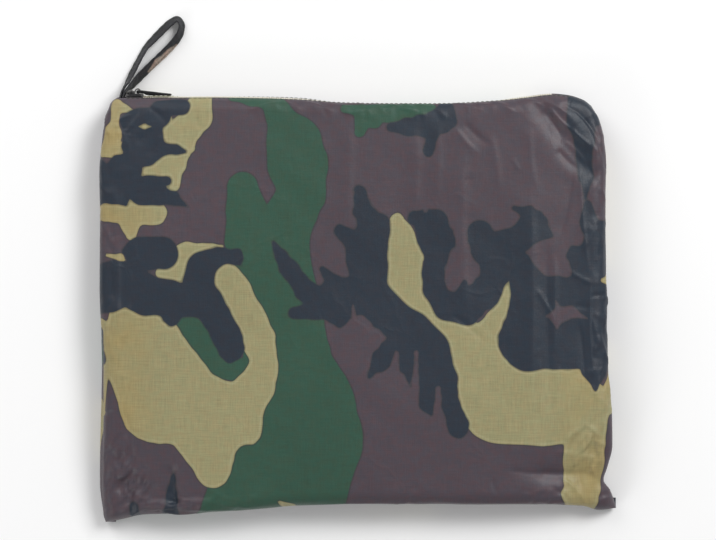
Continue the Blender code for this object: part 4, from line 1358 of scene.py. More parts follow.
@dataclass
class Finishes:
    """All the finishes of the poncho."""

    cloth: bpy.types.Material
    strap: bpy.types.Material
    tape: bpy.types.Material
    coil: bpy.types.Material
    thread: bpy.types.Material
    enamel: bpy.types.Material

    @classmethod
    def build(cls) -> Finishes:
        """Make every finish once."""
        return cls(
            cloth=CamouflageFinish("coated camouflage cloth", 0.42).build(),
            strap=CamouflageFinish("strap cloth", 0.5, **STRAP_DYES).build(),
            tape=TapeFinish("woven zip tape", 0.8).build(),
            coil=CoilFinish("nylon coil", 0.42).build(),
            thread=CoilFinish("sewing thread", 0.7, *THREAD_DYES, grain=2500.0).build(),
            enamel=EnamelFinish("worn black enamel", 0.42).build(),
        )


@dataclass
class PanelSheet:
    """One panel of the pouch: its outer face, seam allowances and the hem turned in at the zip."""

    form: PouchForm
    panel: Panel
    creases: CreaseField
    finishes: Finishes
    edge_steps: int
    middle_steps: tuple[int, int]
    flat: tuple[float, float]
    allowance: tuple[float, ...] = (1.5, 3.2, 5.0)
    side_fade: tuple[float, float] = (-0.3, 3.5)
    zip_fade: tuple[float, float] = (0.4, 7.0)
    hem_radius: float = 0.45
    hem_inset: float = 0.95
    hem_rows: tuple[int, ...] = (1, 2, 3, 5, 7)
    back_print: tuple[float, float] = (14.0, -26.0)
    points: Array = field(default_factory=lambda: np.zeros((0, 0, 3)))
    normals: Array = field(default_factory=lambda: np.zeros((0, 0, 3)))

    def shape(self) -> tuple[Array, Array]:
        """The panel's outer face with its creases.

        Returns:
            Its grid of points, and the cloth's own coordinates of each.
        """
        across, up = (
            self.form.stations(axis, self.panel, self.edge_steps, steps)
            for axis, steps in enumerate(self.middle_steps)
        )
        grid = np.meshgrid(across, up, indexing="ij")
        points = self.form.face(*grid, self.panel)
        cloth = cloth_coordinates(points)
        from_sides = np.minimum(cloth[..., 0] - cloth[:1, :, 0], cloth[-1:, :, 0] - cloth[..., 0])
        from_bottom = cloth[..., 1] - cloth[:, :1, 1]
        from_zip = cloth[:, -1:, 1] - cloth[..., 1]
        from_seams = np.minimum(from_sides, from_bottom)
        fade = smoothstep((from_seams - self.side_fade[0]) / self.side_fade[1])
        fade *= smoothstep((from_zip - self.zip_fade[0]) / self.zip_fade[1])
        normals = surface_normals(points, self.panel.value)
        lift = self.creases.height(cloth) * fade
        if self.panel is Panel.BACK:
            lift = np.minimum(lift, points[..., 2] / np.maximum(-normals[..., 2], 0.05))
        points = points + normals * lift[..., None]
        self.points, self.normals = points, surface_normals(points, self.panel.value)
        return points, cloth

    def seam_turn(self, radius: Array) -> tuple[Array, Array, Array]:
        """How a seam's allowance turns in: a quarter circle of the given radius, then level.

        Args:
            radius: The radius at each place on the seam.

        Returns:
            Distances inwards and distances down, a row for each step, and lengths along the cloth.
        """
        angles = np.radians([18.0, 36.0, 54.0, 72.0, 88.0])[:, None]
        inward, down = radius * (1 - np.cos(angles)), radius * np.sin(angles)
        flat = np.array(self.allowance)[:, None]
        inward = np.concatenate([inward, radius + flat])
        level = np.broadcast_to(radius - 0.1, (len(flat), radius.size))
        down = np.concatenate([down, level])
        length = np.concatenate([radius * angles, radius * math.pi / 2 + flat])
        return inward, down, length

    def hem_turn(self) -> tuple[Array, Array]:
        """How the hem turns in at the zip: a half circle, then back up behind the face.

        Returns:
            The shift of each hem row from the panel's edge, and lengths along the cloth.
        """
        edge = self.points[:, -1]
        gap = np.maximum(smooth_through(ZIP_LINE, "gap", edge[:, 0]), self.form.least_gap)
        radius = np.minimum(self.hem_radius, gap * 0.8)
        angles = np.radians([30.0, 60.0, 90.0, 120.0, 150.0, 180.0])[:, None]
        inward, down = radius * (1 - np.cos(angles)), radius * np.sin(angles)
        turned = np.stack([np.zeros_like(inward), -inward, -self.panel.value * down], axis=-1)
        behind, lengths = [], list(radius * angles)
        for row in self.hem_rows:
            away = self.points[:, -1 - row] - edge
            behind.append(away - self.normals[:, -1 - row] * self.hem_inset)
            lengths.append(radius * math.pi + np.linalg.norm(away, axis=-1))
        shift = np.concatenate([turned, np.array(behind)])
        return shift.transpose(1, 0, 2), np.array(lengths).T

    def build(self) -> bpy.types.Object:
        """Make the sheet.

        Returns:
            The sheet's object, riding on the pouch.
        """
        points, cloth = self.shape()
        rows, columns = points.shape[:2]
        ends = {side: self.side_radius(side, points) for side in Side}
        turns = {side: self.seam_turn(radius) for side, radius in ends.items()}
        hem_shift, hem_length = self.hem_turn()
        extra = len(turns[Side.LEFT][0])
        pick_u = np.concatenate([np.zeros(extra, int), np.arange(rows), np.full(extra, rows - 1)])
        hem = np.full(hem_shift.shape[1], columns - 1)
        pick_v = np.concatenate([np.zeros(extra, int), np.arange(columns), hem])
        full = points[pick_u][:, pick_v].copy()
        mapped = cloth[pick_u][:, pick_v].copy()
        sign = self.panel.value
        for side, direction in ((Side.LEFT, 1), (Side.RIGHT, -1)):
            inward, down, length = (part[:, pick_v] for part in turns[side])
            where = slice(extra - 1, None, -1) if side is Side.LEFT else slice(extra + rows, None)
            full[where, :, 0] += direction * inward
            full[where, :, 2] -= sign * down
            mapped[where, :, 0] -= direction * length
        inward, down, length = (part[:, pick_u] for part in turns[Side.BOTTOM])
        full[:, extra - 1 :: -1, 1] += inward.T
        full[:, extra - 1 :: -1, 2] -= sign * down.T
        mapped[:, extra - 1 :: -1, 1] -= length.T
        full[:, extra + columns :] += hem_shift[pick_u]
        mapped[:, extra + columns :, 1] += hem_length[pick_u]
        name = self.panel.name.lower() + "_cloth"
        s, t = self.print_place(mapped)
        faces = grid_faces(len(pick_u), len(pick_v), flip=self.panel is Panel.BACK)
        sheet = new_object(name, full, faces, self.finishes.cloth, mapped, CLOTH_PRINT.marks(s, t))
        wide, long = np.ptp(mapped[:, len(pick_v) // 2, 0]), np.ptp(mapped[len(pick_u) // 2, :, 1])
        LOG.info("%s: %d points, cut %.1f by %.1f mm", name, full.size // 3, wide, long)
        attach(sheet, "pouch")
        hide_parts(self.panel.name.lower() + "_panel")
        return sheet

    def side_radius(self, side: Side, points: Array) -> Array:
        """The seam turn's radius at each grid place of a side."""
        places = {
            Side.LEFT: points[0, :, 1], Side.RIGHT: points[-1, :, 1], Side.BOTTOM: points[:, 0, 0],
        }
        return smooth_through(SIDE_TABLES[side], "edge", places[side])

    def print_place(self, mapped: Array) -> tuple[Array, Array]:
        """Where in the print each point of the panel was cut from."""
        if self.panel is Panel.FRONT:
            return mapped[..., 0], mapped[..., 1]
        return self.back_print[0] - mapped[..., 0], self.back_print[1] - mapped[..., 1]


@dataclass
class PackedGarment:
    """The poncho itself, folded into a flat stack inside the pouch."""

    form: PouchForm
    finishes: Finishes
    inset: float = 7.0
    zip_inset: float = 11.5
    front_gap: float = 3.4
    back_gap: float = 2.2
    layers: int = 14
    swell: float = 2.4
    groove: float = 0.7
    squareness: int = 8
    rim_points: int = 240
    first_share: float = 0.04
    top_rings: int = 18
    bottom_rings: int = 12
    print_shift: tuple[float, float] = (40.0, -20.0)

    def rim(self) -> tuple[Array, Array]:
        """Fractions round the stack's edge, with its corners rounded."""
        turn = circle(self.rim_points) + math.pi / 4
        cos, sin, power = np.cos(turn), np.sin(turn), self.squareness
        square = (np.abs(cos) ** power + np.abs(sin) ** power) ** (-1 / power)
        size_x, size_y = self.form.near_body
        low_x, high_x = self.inset / size_x, 1 - self.inset / size_x
        low_y, high_y = self.inset / size_y, 1 - self.zip_inset / size_y
        across = low_x + (cos * square + 1) / 2 * (high_x - low_x)
        return across, low_y + (sin * square + 1) / 2 * (high_y - low_y)

    def build(self) -> None:
        """Make the stack: rings from its top's middle, down its layered sides, to the bottom's."""
        across, up = self.rim()
        rings = []
        for share in np.linspace(self.first_share, 1.0, self.top_rings):
            near = 0.5 + (across - 0.5) * share, 0.5 + (up - 0.5) * share
            rings.append(self.form.face(*near, Panel.FRONT, folded=False) - (0, 0, self.front_gap))
        top = rings[-1]
        bottom = self.form.face(across, up, Panel.BACK) + (0, 0, self.back_gap)
        bottom[:, :2] = top[:, :2]
        outward = unit(np.roll(top, -1, axis=0) - np.roll(top, 1, axis=0))[:, [1, 0, 2]] * (1, -1, 0)
        place = circle(len(top))
        for step in np.linspace(0, 1, 8 * self.layers + 1)[1:-1]:
            wander = step * self.layers + 0.25 * np.sin(3 * place) + 0.15 * np.sin(7 * place + 1)
            ridge = np.abs(np.sin(math.pi * wander))
            bulge = math.sin(math.pi * step)
            out = self.swell * bulge - self.groove * (1 - ridge) * bulge**0.3
            rings.append(top * (1 - step) + bottom * step + outward * out[:, None])
        for share in np.linspace(1.0, self.first_share, self.bottom_rings):
            near = 0.5 + (across - 0.5) * share, 0.5 + (up - 0.5) * share
            flat = self.form.face(*near, Panel.BACK) + (0, 0, self.back_gap)
            if share == 1.0:
                flat[:, :2] = bottom[:, :2]
            rings.append(flat)
        loops = np.array(rings)
        faces = ring_faces(*loops.shape[:2])[:, ::-1].tolist()
        size = loops.shape[1]
        faces.append(list(range(size)))
        faces.append(list(range((len(loops) - 1) * size, len(loops) * size))[::-1])
        cloth = loops[..., :2]
        shift_s, shift_t = self.print_shift
        marks = CLOTH_PRINT.marks(cloth[..., 1] + shift_s, cloth[..., 0] * 0.7 + shift_t)
        stack = new_object("folded_garment", loops, faces, self.finishes.cloth, cloth, marks)
        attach(stack, "pouch")
        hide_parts("folded_poncho")
        LOG.info("folded_garment: %d layers at its sides", self.layers)


@dataclass
class CoilZip:
    """The closed zip: a woven tape on each panel, and two nylon coils that mesh."""

    form: PouchForm
    finishes: Finishes
    start: float = -150.4
    end: float = 146.0
    chain_start: float = -146.9
    chain_end: float = 129.0
    pitch: float = 1.5
    wire: float = 0.34
    coil_reach: tuple[float, float] = (-0.45, 2.35)
    coil_height: tuple[float, float] = (0.62, 2.12)
    behind: float = 1.9
    inner_edge: float = 0.65
    tape_steps: int = 190
    tape_flat: tuple[float, float] = (0.0106, 0.296)
    lean: float = 0.16
    head_swell: float = 0.35

    def build_tape(self, panel: Panel) -> None:
        """Make the tape of one panel: level across the opening, then behind the panel's hem.

        Args:
            panel: The panel that the tape is sewn to.
        """
        x = np.linspace(self.start, self.end, self.tape_steps)
        gap = np.maximum(smooth_through(ZIP_LINE, "gap", x) - 0.3, 0.75)
        level = np.linspace(0.0, 1.0, 7)
        across = (self.inner_edge + (gap[:, None] - self.inner_edge) * level) * panel.value
        seen = self.form.zip_place(x[:, None], across, np.zeros_like(across))
        fraction = (x - ZIP_LINE[0].along) / (ZIP_LINE[-1].along - ZIP_LINE[0].along)
        turn = np.linspace(0.12, 0.95, 5)
        up = 1 - self.form.round_of(panel) * (1 - np.cos(turn)) / self.form.near_body[1]
        face = self.form.face(*np.meshgrid(fraction, up, indexing="ij"), panel, folded=False)
        inward = surface_normals(face, panel.value)  # the grid runs down the panel, so these face in
        hidden = face + inward * self.behind
        hidden[..., 1] = np.minimum(hidden[..., 1], seen[:, -1:, 1] + 0.05)
        points = np.concatenate([seen, hidden], axis=1)
        width = np.array([run_along(row) for row in points])
        cloth = np.stack([np.broadcast_to(x[:, None], width.shape), width], axis=-1)
        faces = grid_faces(*points.shape[:2], flip=panel is Panel.FRONT)
        name = "zip_tape_" + panel.name.lower() + "_weave"
        tape = new_object(name, points, faces, self.finishes.tape, cloth)
        LOG.info("%s: %.1f mm wide", name, float(width[:, -1].mean()))
        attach(tape, "pouch")
        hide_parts("zip_tape_" + panel.name.lower())

    def coil_path(self, sign: int) -> Array:
        """The middle line of one coil.

        A flattened helix: across swings between its head past the middle and its root on the
        tape, out swings between its lower and upper leg, and along gains a pitch each turn.

        Args:
            sign: 1 for the front's coil and -1 for the back's.

        Returns:
            Points as along, across and out.
        """
        turns = int((self.chain_end - self.chain_start) / self.pitch)
        turn = np.linspace(0, turns, turns * 12 + 1)
        phase = 2 * math.pi * turn
        middle, half = sum(self.coil_reach) / 2, (self.coil_reach[1] - self.coil_reach[0]) / 2
        across = middle - half * squared_off(np.cos(phase), 0.7)
        level, rise = sum(self.coil_height) / 2, (self.coil_height[1] - self.coil_height[0]) / 2
        lift = squared_off(np.sin(phase), 0.8)
        offset = 0.0 if sign > 0 else self.pitch / 2
        lean = self.lean * np.sin(phase) * sign
        along = self.chain_start + offset + self.pitch * turn * (turns - 1) / turns + lean
        return np.stack([along, across * sign, level + rise * lift], axis=-1)

    def build_chain(self) -> None:
        """Make both coils as tubes about their middle lines."""
        shape = Shape()
        for sign in (1, -1):
            path = self.coil_path(sign)
            run = unit(np.gradient(path, axis=0))
            side = unit(np.array([1.0, 0.0, 0.0]) - run * run[:, :1])
            head = np.exp(-(((path[:, 1] * sign - self.coil_reach[0]) / 0.5) ** 2))
            wide = self.wire * (1 + self.head_swell * head)
            radii = (wide, np.full_like(wide, self.wire))
            rings = tube(path, (side, np.cross(run, side)), radii, 6)
            shape.add_rings(self.form.zip_place(*np.moveaxis(rings, -1, 0)), flip=True)
        chain = shape.make("zip_coils", self.finishes.coil)
        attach(chain, "pouch")
        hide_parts("zip_chain")
        LOG.info("zip_coils: %d faces", len(shape.faces))

    def build(self) -> None:
        """Make the tapes and the chain."""
        for panel in Panel:
            self.build_tape(panel)
        self.build_chain()


@dataclass
class StitchRow:
    """A row of lockstitches along a line on a surface."""

    name: str
    long: float = 2.4
    gap: float = 0.7
    thread: float = 0.2
    rise: float = 0.26
    sunk: float = 0.12

    def add(self, shape: Shape, line: Array, normals: Array) -> None:
        """Add the row's stitches to a shape.

        Each stitch is a thread that rises from the cloth as a sine and sinks again.

        Args:
            shape: What to add to.
            line: Points of the row, close together.
            normals: The surface's normal at each.
        """
        run = run_along(line)
        share = np.linspace(0, 1, 6)
        arch = np.sin(share * math.pi)
        starts = np.arange(int(run[-1] / (self.long + self.gap))) * (self.long + self.gap)
        places = starts[:, None] + self.gap / 2 + share * self.long
        normal = unit(resampled(places, run, normals))
        lift = arch**0.6 * self.rise - self.sunk
        middle = resampled(places, run, line) + normal * lift[:, None]
        side = np.cross(unit(np.gradient(middle, axis=1)), normal)
        thin = self.thread * (0.55 + 0.45 * arch)
        for points, *frame in zip(middle, side, normal):
            shape.add_rings(tube(points, frame, (thin, thin), 5))


@dataclass
class TopStitching:
    """The rows sewn through each panel's hem beside the zip."""

    panels: tuple[PanelSheet, ...]
    finishes: Finishes
    inset: float = 3.2
    ends: tuple[float, float] = (-150.0, 140.0)

    def build(self) -> bpy.types.Object:
        """Make both rows as one piece.

        Returns:
            The stitching's object.
        """
        shape = Shape()
        row = StitchRow("zip_topstitching")
        for sheet in self.panels:
            points, normals = sheet.points, sheet.normals
            run = run_along(points[len(points) // 2, ::-1])
            keep = (points[:, -1, 0] > self.ends[0]) & (points[:, -1, 0] < self.ends[1])
            step = int(np.argmin(np.abs(run - self.inset)))
            line = points[keep, -1 - step]
            row.add(shape, line, normals[keep, -1 - step])
            LOG.info("zip_topstitching: %s row of %d points", sheet.panel.name.lower(), len(line))
        made = shape.make(row.name, self.finishes.thread)
        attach(made, "pouch")
        return made


@dataclass
class WristStrap:
    """The loop: a cloth strip folded double and sewn, held on edge, both ends in the zip's corner."""

    finishes: Finishes
    width: float = 7.0
    wall: float = 1.3
    seam_inset: float = 1.5
    steps: int = 12
    flat: tuple[float, float] = (0.0275, 0.141)

    def route(self) -> tuple[Array, Array, Array]:
        """The strap's middle line as a smooth curve through its route.

        Returns:
            Points, the direction of the strap's width, and of its thickness.
        """
        rows = np.array(STRAP_ROUTE)
        at = np.linspace(0.0, len(rows) - 1, self.steps * (len(rows) - 1) + 1)
        cell = np.clip(at.astype(int), 0, len(rows) - 2)
        t = (at - cell)[:, None]
        before, after = rows[np.clip(cell - 1, 0, None)], rows[np.clip(cell + 2, None, len(rows) - 1)]
        start, end = rows[cell], rows[cell + 1]
        path = cubic(t, start, end, (end - before) / 2, (after - start) / 2)
        middle, tilt = path[:, :3], np.radians(path[:, 3:4])
        run = unit(np.gradient(middle, axis=0))
        level = unit(np.stack([run[:, 1], -run[:, 0], np.zeros(len(run))], axis=-1))
        wide = np.cos(tilt) * level + np.sin(tilt) * np.cross(level, run)
        return middle, wide, np.cross(run, wide)

    def profile(self) -> Array:
        """The folded strip's section: across the width and through the wall.

        An inner layer goes down to the first fold, the outer layer comes up and over the top fold,
        and the other side mirrors it.
        """
        half, outer, inner = self.width / 2, self.wall / 2 - 0.06, 0.17
        fold = (outer - inner) / 2
        layer = [(w, -inner) for w in np.linspace(half - 1.2, -half + fold, 8)]
        low, high = np.radians([30, 60, 90, 120, 150, 180]), np.radians([22, 45, 68, 90])
        turn = [(fold - half - fold * math.sin(a), fold * math.cos(a) - inner - fold) for a in low]
        up = [(w, -outer) for w in np.linspace(-half + fold, half - outer, 10)[1:]]
        top = [(half - outer + outer * math.sin(a), -outer * math.cos(a)) for a in high]
        one = layer + turn + up + top
        other = [(w, -n) for w, n in one[:-1]][::-1]
        return np.array(one + other)

    def build(self) -> None:
        """Make the strap and its stitches; sines along it make it puffy and uneven."""
        middle, wide, thick = self.route()
        profile = self.profile()
        run, around = run_along(middle), run_along(profile)
        around -= around[-1] / 2
        w, n = profile[:, 0], profile[:, 1]
        rounding = np.cos(w / (self.width / 2) * math.pi / 2)
        puff = 1 + 0.16 * np.sin(run * 1.9)[:, None] * rounding[None, :]
        puff = puff + 0.10 * np.sin(run * 0.83 + 1)[:, None] * np.sin(w)[None, :]
        sway = 0.12 * np.sin(run * 1.1)[:, None] * np.sin(w * 0.9 + 1)[None, :]
        points = middle[:, None] + wide[:, None] * w[None, :, None]
        points = points + thick[:, None] * (n[None, :] * puff + sway)[..., None]
        cloth = np.stack(np.meshgrid(run, around, indexing="ij"), axis=-1)
        faces = grid_faces(*points.shape[:2])
        marks = STRAP_PRINT.marks(cloth[..., 0], cloth[..., 1])
        strap = new_object("wrist_strap", points, faces, self.finishes.strap, cloth, marks)
        LOG.info("wrist_strap: %.1f mm of strip %.1f mm wide", run[-1], np.ptp(around))
        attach(strap, "pouch")
        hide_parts("wrist_loop")
        shape = Shape()
        row = StitchRow("strap_stitching", long=1.9, gap=0.6, thread=0.17)
        for sign in (-1, 1):
            line = middle - wide * (self.width / 2 - self.seam_inset)
            line = line + thick * sign * (self.wall / 2 - 0.02)
            row.add(shape, line[4:-4], sign * thick[4:-4])
        stitches = shape.make(row.name, self.finishes.thread)
        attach(stitches, "pouch")


def closed_outline(corners: Sequence[tuple[float, float]], count: int, power: int) -> Array:
    """An even closed outline through corners, softened.

    Args:
        corners: Points in order round the outline.
        count: How many points to return.
        power: How many times neighbouring points are averaged.

    Returns:
        Points in the plane.
    """
    ring = np.array([*corners, corners[0]], dtype=float)
    run = run_along(ring)
    made = resampled(np.linspace(0, run[-1], count, endpoint=False), run, ring)
    for _ in range(power):
        made = (np.roll(made, 1, axis=0) + 2 * made + np.roll(made, -1, axis=0)) / 4
    return made


def outline_normals(outline: Array) -> Array:
    """Outward unit normals of an outline that runs anticlockwise."""
    run = unit(np.roll(outline, -1, axis=0) - np.roll(outline, 1, axis=0))
    return np.stack([run[:, 1], -run[:, 0]], axis=-1)


@dataclass
class ZipSlider:
    """The slider: a plate curled over the coils, its neck and inner plate, and the pull's bridge."""

    form: PouchForm
    finishes: Finishes
    pivot_x: float = -142.7
    pivot_out: float = 5.5
    ends: tuple[float, float] = (-7.5, 3.5)
    plate: tuple[float, float] = (2.9, 4.2)
    half: float = 4.7
    tail_half: float = 3.9
    flange: float = 1.2
    foot: float = 0.45
    bar_power: float = 0.6

    def place(self, along: Array, out: Array, across: Array) -> Array:
        """Points in the slider's own directions, put where the slider is."""
        return self.form.zip_place(self.pivot_x + along, across, out, seat=self.pivot_x)

    def channel(self) -> Array:
        """Rings of the outer plate with its two curled flanges.

        The section is a channel; its half width eases from the mouth's to the tail's, and the
        last rings at each end draw in to round the ends.
        """
        outer, inner = self.plate[1], self.plate[0]
        corner = np.radians([0, 18, 36, 54, 72, 90])
        right = [(1.0, self.foot), (1.0, 1.4)]
        right += [(1 - 0.24 * (1 - math.cos(a)), outer - 1.2 + 1.2 * math.sin(a)) for a in corner]
        top = [(x, outer) for x in np.linspace(0.62, -0.62, 9)]
        left = [(-x, y) for x, y in right[::-1]]
        wall = 1 - self.flange / self.half
        under = [(wall, self.foot), (wall, 2.2), (wall - 0.12, inner)]
        section = np.array(right + top + left + [(-x, y) for x, y in under] + under[::-1])
        stations = (0.0, 0.12, 0.4, 0.9, 1.8, 3.2, 5.0, 7.0, 8.8, 10.0, 10.55, 10.88, 11.0)
        along = np.array(stations) + self.ends[0]
        share = smoothstep((along - self.ends[0]) / 7.0)
        half = self.half + (self.tail_half - self.half) * share
        end_round = np.minimum(along - self.ends[0], self.ends[1] - along)
        draw = np.clip(1 - end_round / 0.6, 0, 1) ** 2 * 0.22
        across = section[None, :, 0] * half[:, None]
        out = np.broadcast_to(section[None, :, 1], across.shape)
        centre = (outer + inner) / 2
        across = across * (1 - draw[:, None] * 0.5)
        out = out + (centre - out) * draw[:, None]
        return self.place(along[:, None], out, across)

    def slab(self, outline: Array, low: float, high: float, radius: float) -> Array:
        """Rings of a plate with rounded edges: the outline drawn in at its top and bottom.

        Args:
            outline: Points as along and across.
            low: Its lower face, outwards from the tape.
            high: Its upper face.
            radius: How far the edges are rounded.

        Returns:
            Rings of points in the slider's place.
        """
        normals = outline_normals(outline)
        turn = np.radians([90, 60, 30, 0])
        course = [(a, low, 1) for a in turn] + [(a, high, -1) for a in turn[::-1]]
        rings = []
        for angle, face, way in course:
            points = outline - normals * radius * (1 - math.cos(angle))
            level = face + way * radius * (1 - math.sin(angle))
            rings.append(self.place(points[:, 0], level, points[:, 1]))
        return np.array(rings)

    def bridge(self) -> Array:
        """Rings of the bridge: a flat bar carried over an arch."""
        turn = np.linspace(-0.35, math.pi + 0.35, 25)[:, None]
        middle, half_wall, half_wide = 1.79, 0.41, 1.25
        around = circle(12)
        wide = squared_off(np.cos(around), self.bar_power) * half_wide
        radius = middle + squared_off(np.sin(around), self.bar_power) * half_wall
        return self.place(np.cos(turn) * radius, self.pivot_out + np.sin(turn) * radius, wide)

    def crown(self) -> Array:
        """Rings of the low ridge from the slider's nose to its bridge."""
        along = np.array([-7.3, -7.1, -6.6, -5.8, -4.8, -3.8, -3.0, -2.3, -2.0])
        top = np.array([4.3, 4.9, 5.8, 6.5, 6.8, 6.6, 6.2, 5.8, 5.4])
        around = circle(14)
        wide = squared_off(np.cos(around), self.bar_power) * 1.3
        deep = (1 + squared_off(np.sin(around), self.bar_power)) / 2
        low = self.plate[1] - 0.6
        return self.place(along[:, None], low + (top[:, None] - low) * deep, wide)

    def build(self) -> None:
        """Make the slider."""
        inner_plate = closed_outline([(-7.2, -3.0), (3.2, -2.6), (3.2, 2.6), (-7.2, 3.0)], 48, 6)
        neck = closed_outline([(-7.0, -0.8), (-4.6, -0.15), (-4.6, 0.15), (-7.0, 0.8)], 24, 1)
        shape = Shape()
        plates = (self.slab(inner_plate, -2.6, -1.4, 0.3), self.slab(neck, -1.7, 3.1, 0.05))
        for rings in (self.channel(), self.bridge(), self.crown(), *plates):
            shape.add_rings(rings)
        slider = shape.make("zip_slider", self.finishes.enamel)
        self.turn_outwards(slider)
        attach(slider, "pouch")
        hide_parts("slider")
        LOG.info("zip_slider: %d faces", len(shape.faces))

    @staticmethod
    def turn_outwards(piece: bpy.types.Object) -> None:
        """Turn every face of a closed piece outwards."""
        body = bmesh.new()
        body.from_mesh(piece.data)
        bmesh.ops.recalc_face_normals(body, faces=body.faces[:])
        body.to_mesh(piece.data)
        body.free()


@dataclass
class PullTab:
    """The pull: a tapered tab with a window, whose end bar lies under the bridge."""

    slider: ZipSlider
    finishes: Finishes
    rest: float = math.radians(5.2)
    tip: float = 22.2
    half: float = 3.0
    waist: float = 2.4
    wall: float = 1.3
    bar: float = 0.98
    round_: float = 0.38
    around: int = 96
    face_steps: tuple[tuple[float, float], ...] = (
        (0.12, 0.0), (0.3, 0.0), (0.42, 0.0), (0.5, 0.14), (0.6, 0.16), (0.8, 0.16), (0.9, 0.0),
    )

    def outlines(self) -> tuple[Array, Array]:
        """The tab's edge and its window, with as many points each, from the same direction."""
        waist, half = self.waist, self.half
        side = [(-0.95, waist), (5.0, waist), (13.0, half), (19.5, half), (21.6, 1.6)]
        edge = [(x, -y) for x, y in side] + [(self.tip, 0.0)] + side[::-1]
        window = [(0.72, -1.62), (4.1, -1.62), (4.1, 1.62), (0.72, 1.62)]
        centre = np.array([2.3, 0.0])
        softened = [closed_outline(corners, self.around, 3) for corners in (edge, window)]
        return self.by_angle(softened[0], centre), self.by_angle(softened[1], centre)

    def by_angle(self, outline: Array, centre: Array) -> Array:
        """An outline's points as seen from a centre, closer together where the tab is far away."""
        off = outline - centre
        turn = np.mod(np.arctan2(off[:, 1], off[:, 0]), 2 * math.pi)
        order = np.argsort(turn)
        turn, ring = turn[order], outline[order]
        even = circle(self.around)
        at = np.mod(even - 0.48 * np.sin(even) - 0.1 * np.sin(2 * even), 2 * math.pi)
        wrapped = np.concatenate([turn[-1:] - 2 * math.pi, turn, turn[:1] + 2 * math.pi])
        return resampled(at, wrapped, np.concatenate([ring[-1:], ring, ring[:1]]))

    def rounded(self, outline: Array, inward: Array) -> list[tuple[Array, float]]:
        """An outline drawn in over a rounded edge: its points and their level, from low to high."""
        drawn = []
        for angle in np.radians([0, 30, 60, 90]):
            level = self.wall / 2 - self.round_ + self.round_ * math.sin(angle)
            drawn.append((outline + inward * self.round_ * (1 - math.cos(angle)), level))
        return drawn

    def build(self) -> None:
        """Make the tab: rings across from its edge over the face to its window and back."""
        edge, window = self.outlines()
        course = self.rounded(edge, -outline_normals(edge))
        for share, dip in self.face_steps:
            at = edge * (1 - share) + window * share
            course.append((at, self.wall / 2 - dip * smoothstep((at[:, 0] - 7.0) / 2.0)))
        course += self.rounded(window, outline_normals(window))[::-1]
        rings = []
        for sign in (1, -1):
            for at, level in course[::sign]:
                lift = sign * level * self.fullness(at[:, 0], sign)
                rings.append(self.place(at[:, 0], lift, at[:, 1]))
        shape = Shape()
        shape.add_rings(np.array(rings), closed=True)
        tab = shape.make("zip_pull", self.finishes.enamel)
        ZipSlider.turn_outwards(tab)
        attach(tab, "pull")
        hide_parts("pull_tab")
        LOG.info("zip_pull: %d faces", len(shape.faces))

    def fullness(self, length: Array, sign: int) -> Array:
        """How many times thicker the tab is: a round bar at its end, then a taper to its tip.

        The upper side falls evenly from the bar to the tip. The lower side clears the slider's
        plate before it swells into a grip.
        """
        half = self.wall / 2
        bar = np.sqrt(np.maximum(self.bar**2 - np.minimum(length, 0.0) ** 2, 0.04)) / half
        if sign > 0:
            return bar + (1 - bar) * smoothstep((length - 1.0) / 19.0)
        low = 1 + (bar - 1) * (1 - smoothstep((length - 0.7) / 0.9))
        return low + 1.3 * smoothstep((length - 3.6) / 2.4) * (1 - smoothstep((length - 8.0) / 12.0))

    def place(self, length: Array, lift: Array | float, across: Array) -> Array:
        """Points along the tab, above it and across it, put where the tab rests."""
        cos, sin = math.cos(self.rest), math.sin(self.rest)
        along = length * cos + lift * sin
        out = self.slider.pivot_out - length * sin + lift * cos
        return self.slider.place(along, out, across)


class Lamp(NamedTuple):
    """A soft light: where it is and how long its sides are, in metres, and its power in watts."""

    name: str
    place: tuple[float, float, float]
    size: float
    power: float


LAMPS = (
    Lamp("key light", (1.6, 1.45, 2.2), 1.3, 64.0),
    Lamp("fill light", (-1.1, 1.3, 1.2), 1.2, 13.0),
    Lamp("low light", (-1.1, -1.2, 0.75), 0.7, 5.5),
)


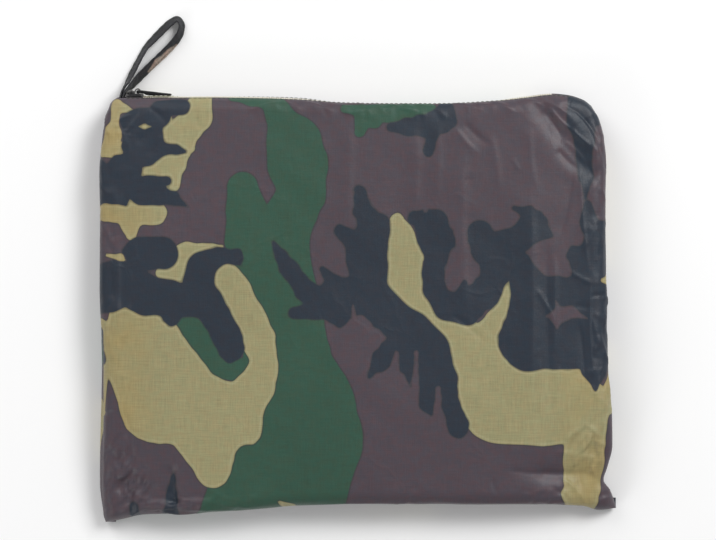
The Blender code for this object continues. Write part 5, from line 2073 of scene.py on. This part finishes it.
@dataclass
class Studio:
    """The floor, the lights and the camera."""

    view_width: float = 465.4
    view_centre: tuple[float, float] = (0.3, -0.65)
    level: float = 13.0
    distance: float = 1800.0
    sensor: float = 36.0
    floor_reach: float = 3000.0
    floor_level: float = -0.05
    surround: float = 0.38

    def add_floor(self) -> None:
        """A wide pale floor, a hair below the pouch so that nothing lies in its own plane."""
        ends = (-self.floor_reach, self.floor_reach)
        corners = np.array([(x, y, self.floor_level) for y in ends for x in ends])
        finish = FloorFinish("pale floor", 0.9).build()
        floor = new_object("studio_floor", corners, [[0, 1, 3, 2]], finish)
        floor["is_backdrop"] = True

    def add_light(self, lamp: Lamp) -> None:
        """A square soft light that faces the pouch."""
        light = bpy.data.lights.new(lamp.name, "AREA")
        light.energy, light.size = lamp.power, lamp.size
        held = bpy.data.objects.new(lamp.name, light)
        held.location = lamp.place
        held.rotation_euler = (-Vector(lamp.place)).to_track_quat("-Z", "Y").to_euler()
        bpy.context.scene.collection.objects.link(held)

    def add_camera(self) -> None:
        """A long lens straight above the pouch, square to it."""
        camera = bpy.data.cameras.new("camera")
        camera.sensor_width = self.sensor
        camera.lens = self.sensor * self.distance / self.view_width
        camera.clip_end = 20.0
        held = bpy.data.objects.new("camera", camera)
        held.location = Vector((*self.view_centre, self.level + self.distance)) * MM
        bpy.context.scene.collection.objects.link(held)
        bpy.context.scene.camera = held

    def build(self) -> None:
        """Set up the studio, with colours shown as they are."""
        self.add_floor()
        for lamp in LAMPS:
            self.add_light(lamp)
        world = bpy.data.worlds.new("studio world")
        world.use_nodes = True
        background = world.node_tree.nodes["Background"]
        background.inputs["Color"].default_value = (1.0, 1.0, 1.0, 1.0)
        background.inputs["Strength"].default_value = self.surround
        bpy.context.scene.world = world
        bpy.context.scene.view_settings.view_transform = "Standard"
        self.add_camera()


FRONT_FIELD = CreaseField(FRONT_CREASES, 5, CRUMPLES)
BACK_FIELD = CreaseField(BACK_CREASES, 9, gain=1.2, edge_count=50, zip_puckers=20, wave_height=0.1)


def main() -> None:
    """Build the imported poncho's looks on its frame."""
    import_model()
    frame_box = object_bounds()
    Studio().build()
    form, finishes = PouchForm(), Finishes.build()
    front = PanelSheet(form, Panel.FRONT, FRONT_FIELD, finishes, 16, (262, 210), (0.356, 0.2885))
    back = PanelSheet(form, Panel.BACK, BACK_FIELD, finishes, 12, (196, 158), (0.356, 0.293))
    front_cloth, back_cloth = front.build(), back.build()
    PackedGarment(form, finishes).build()
    CoilZip(form, finishes).build()
    stitching = TopStitching((front, back), finishes).build()
    WristStrap(finishes).build()
    slider = ZipSlider(form, finishes)
    slider.build()
    PullTab(slider, finishes).build()
    boxes = {"cad": frame_box, "visual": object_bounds()}
    sizes = {name: [list(corner) for corner in box] for name, box in boxes.items()}


if __name__ == "__main__":
    logging.basicConfig(level=logging.INFO, format="%(message)s")
    main()
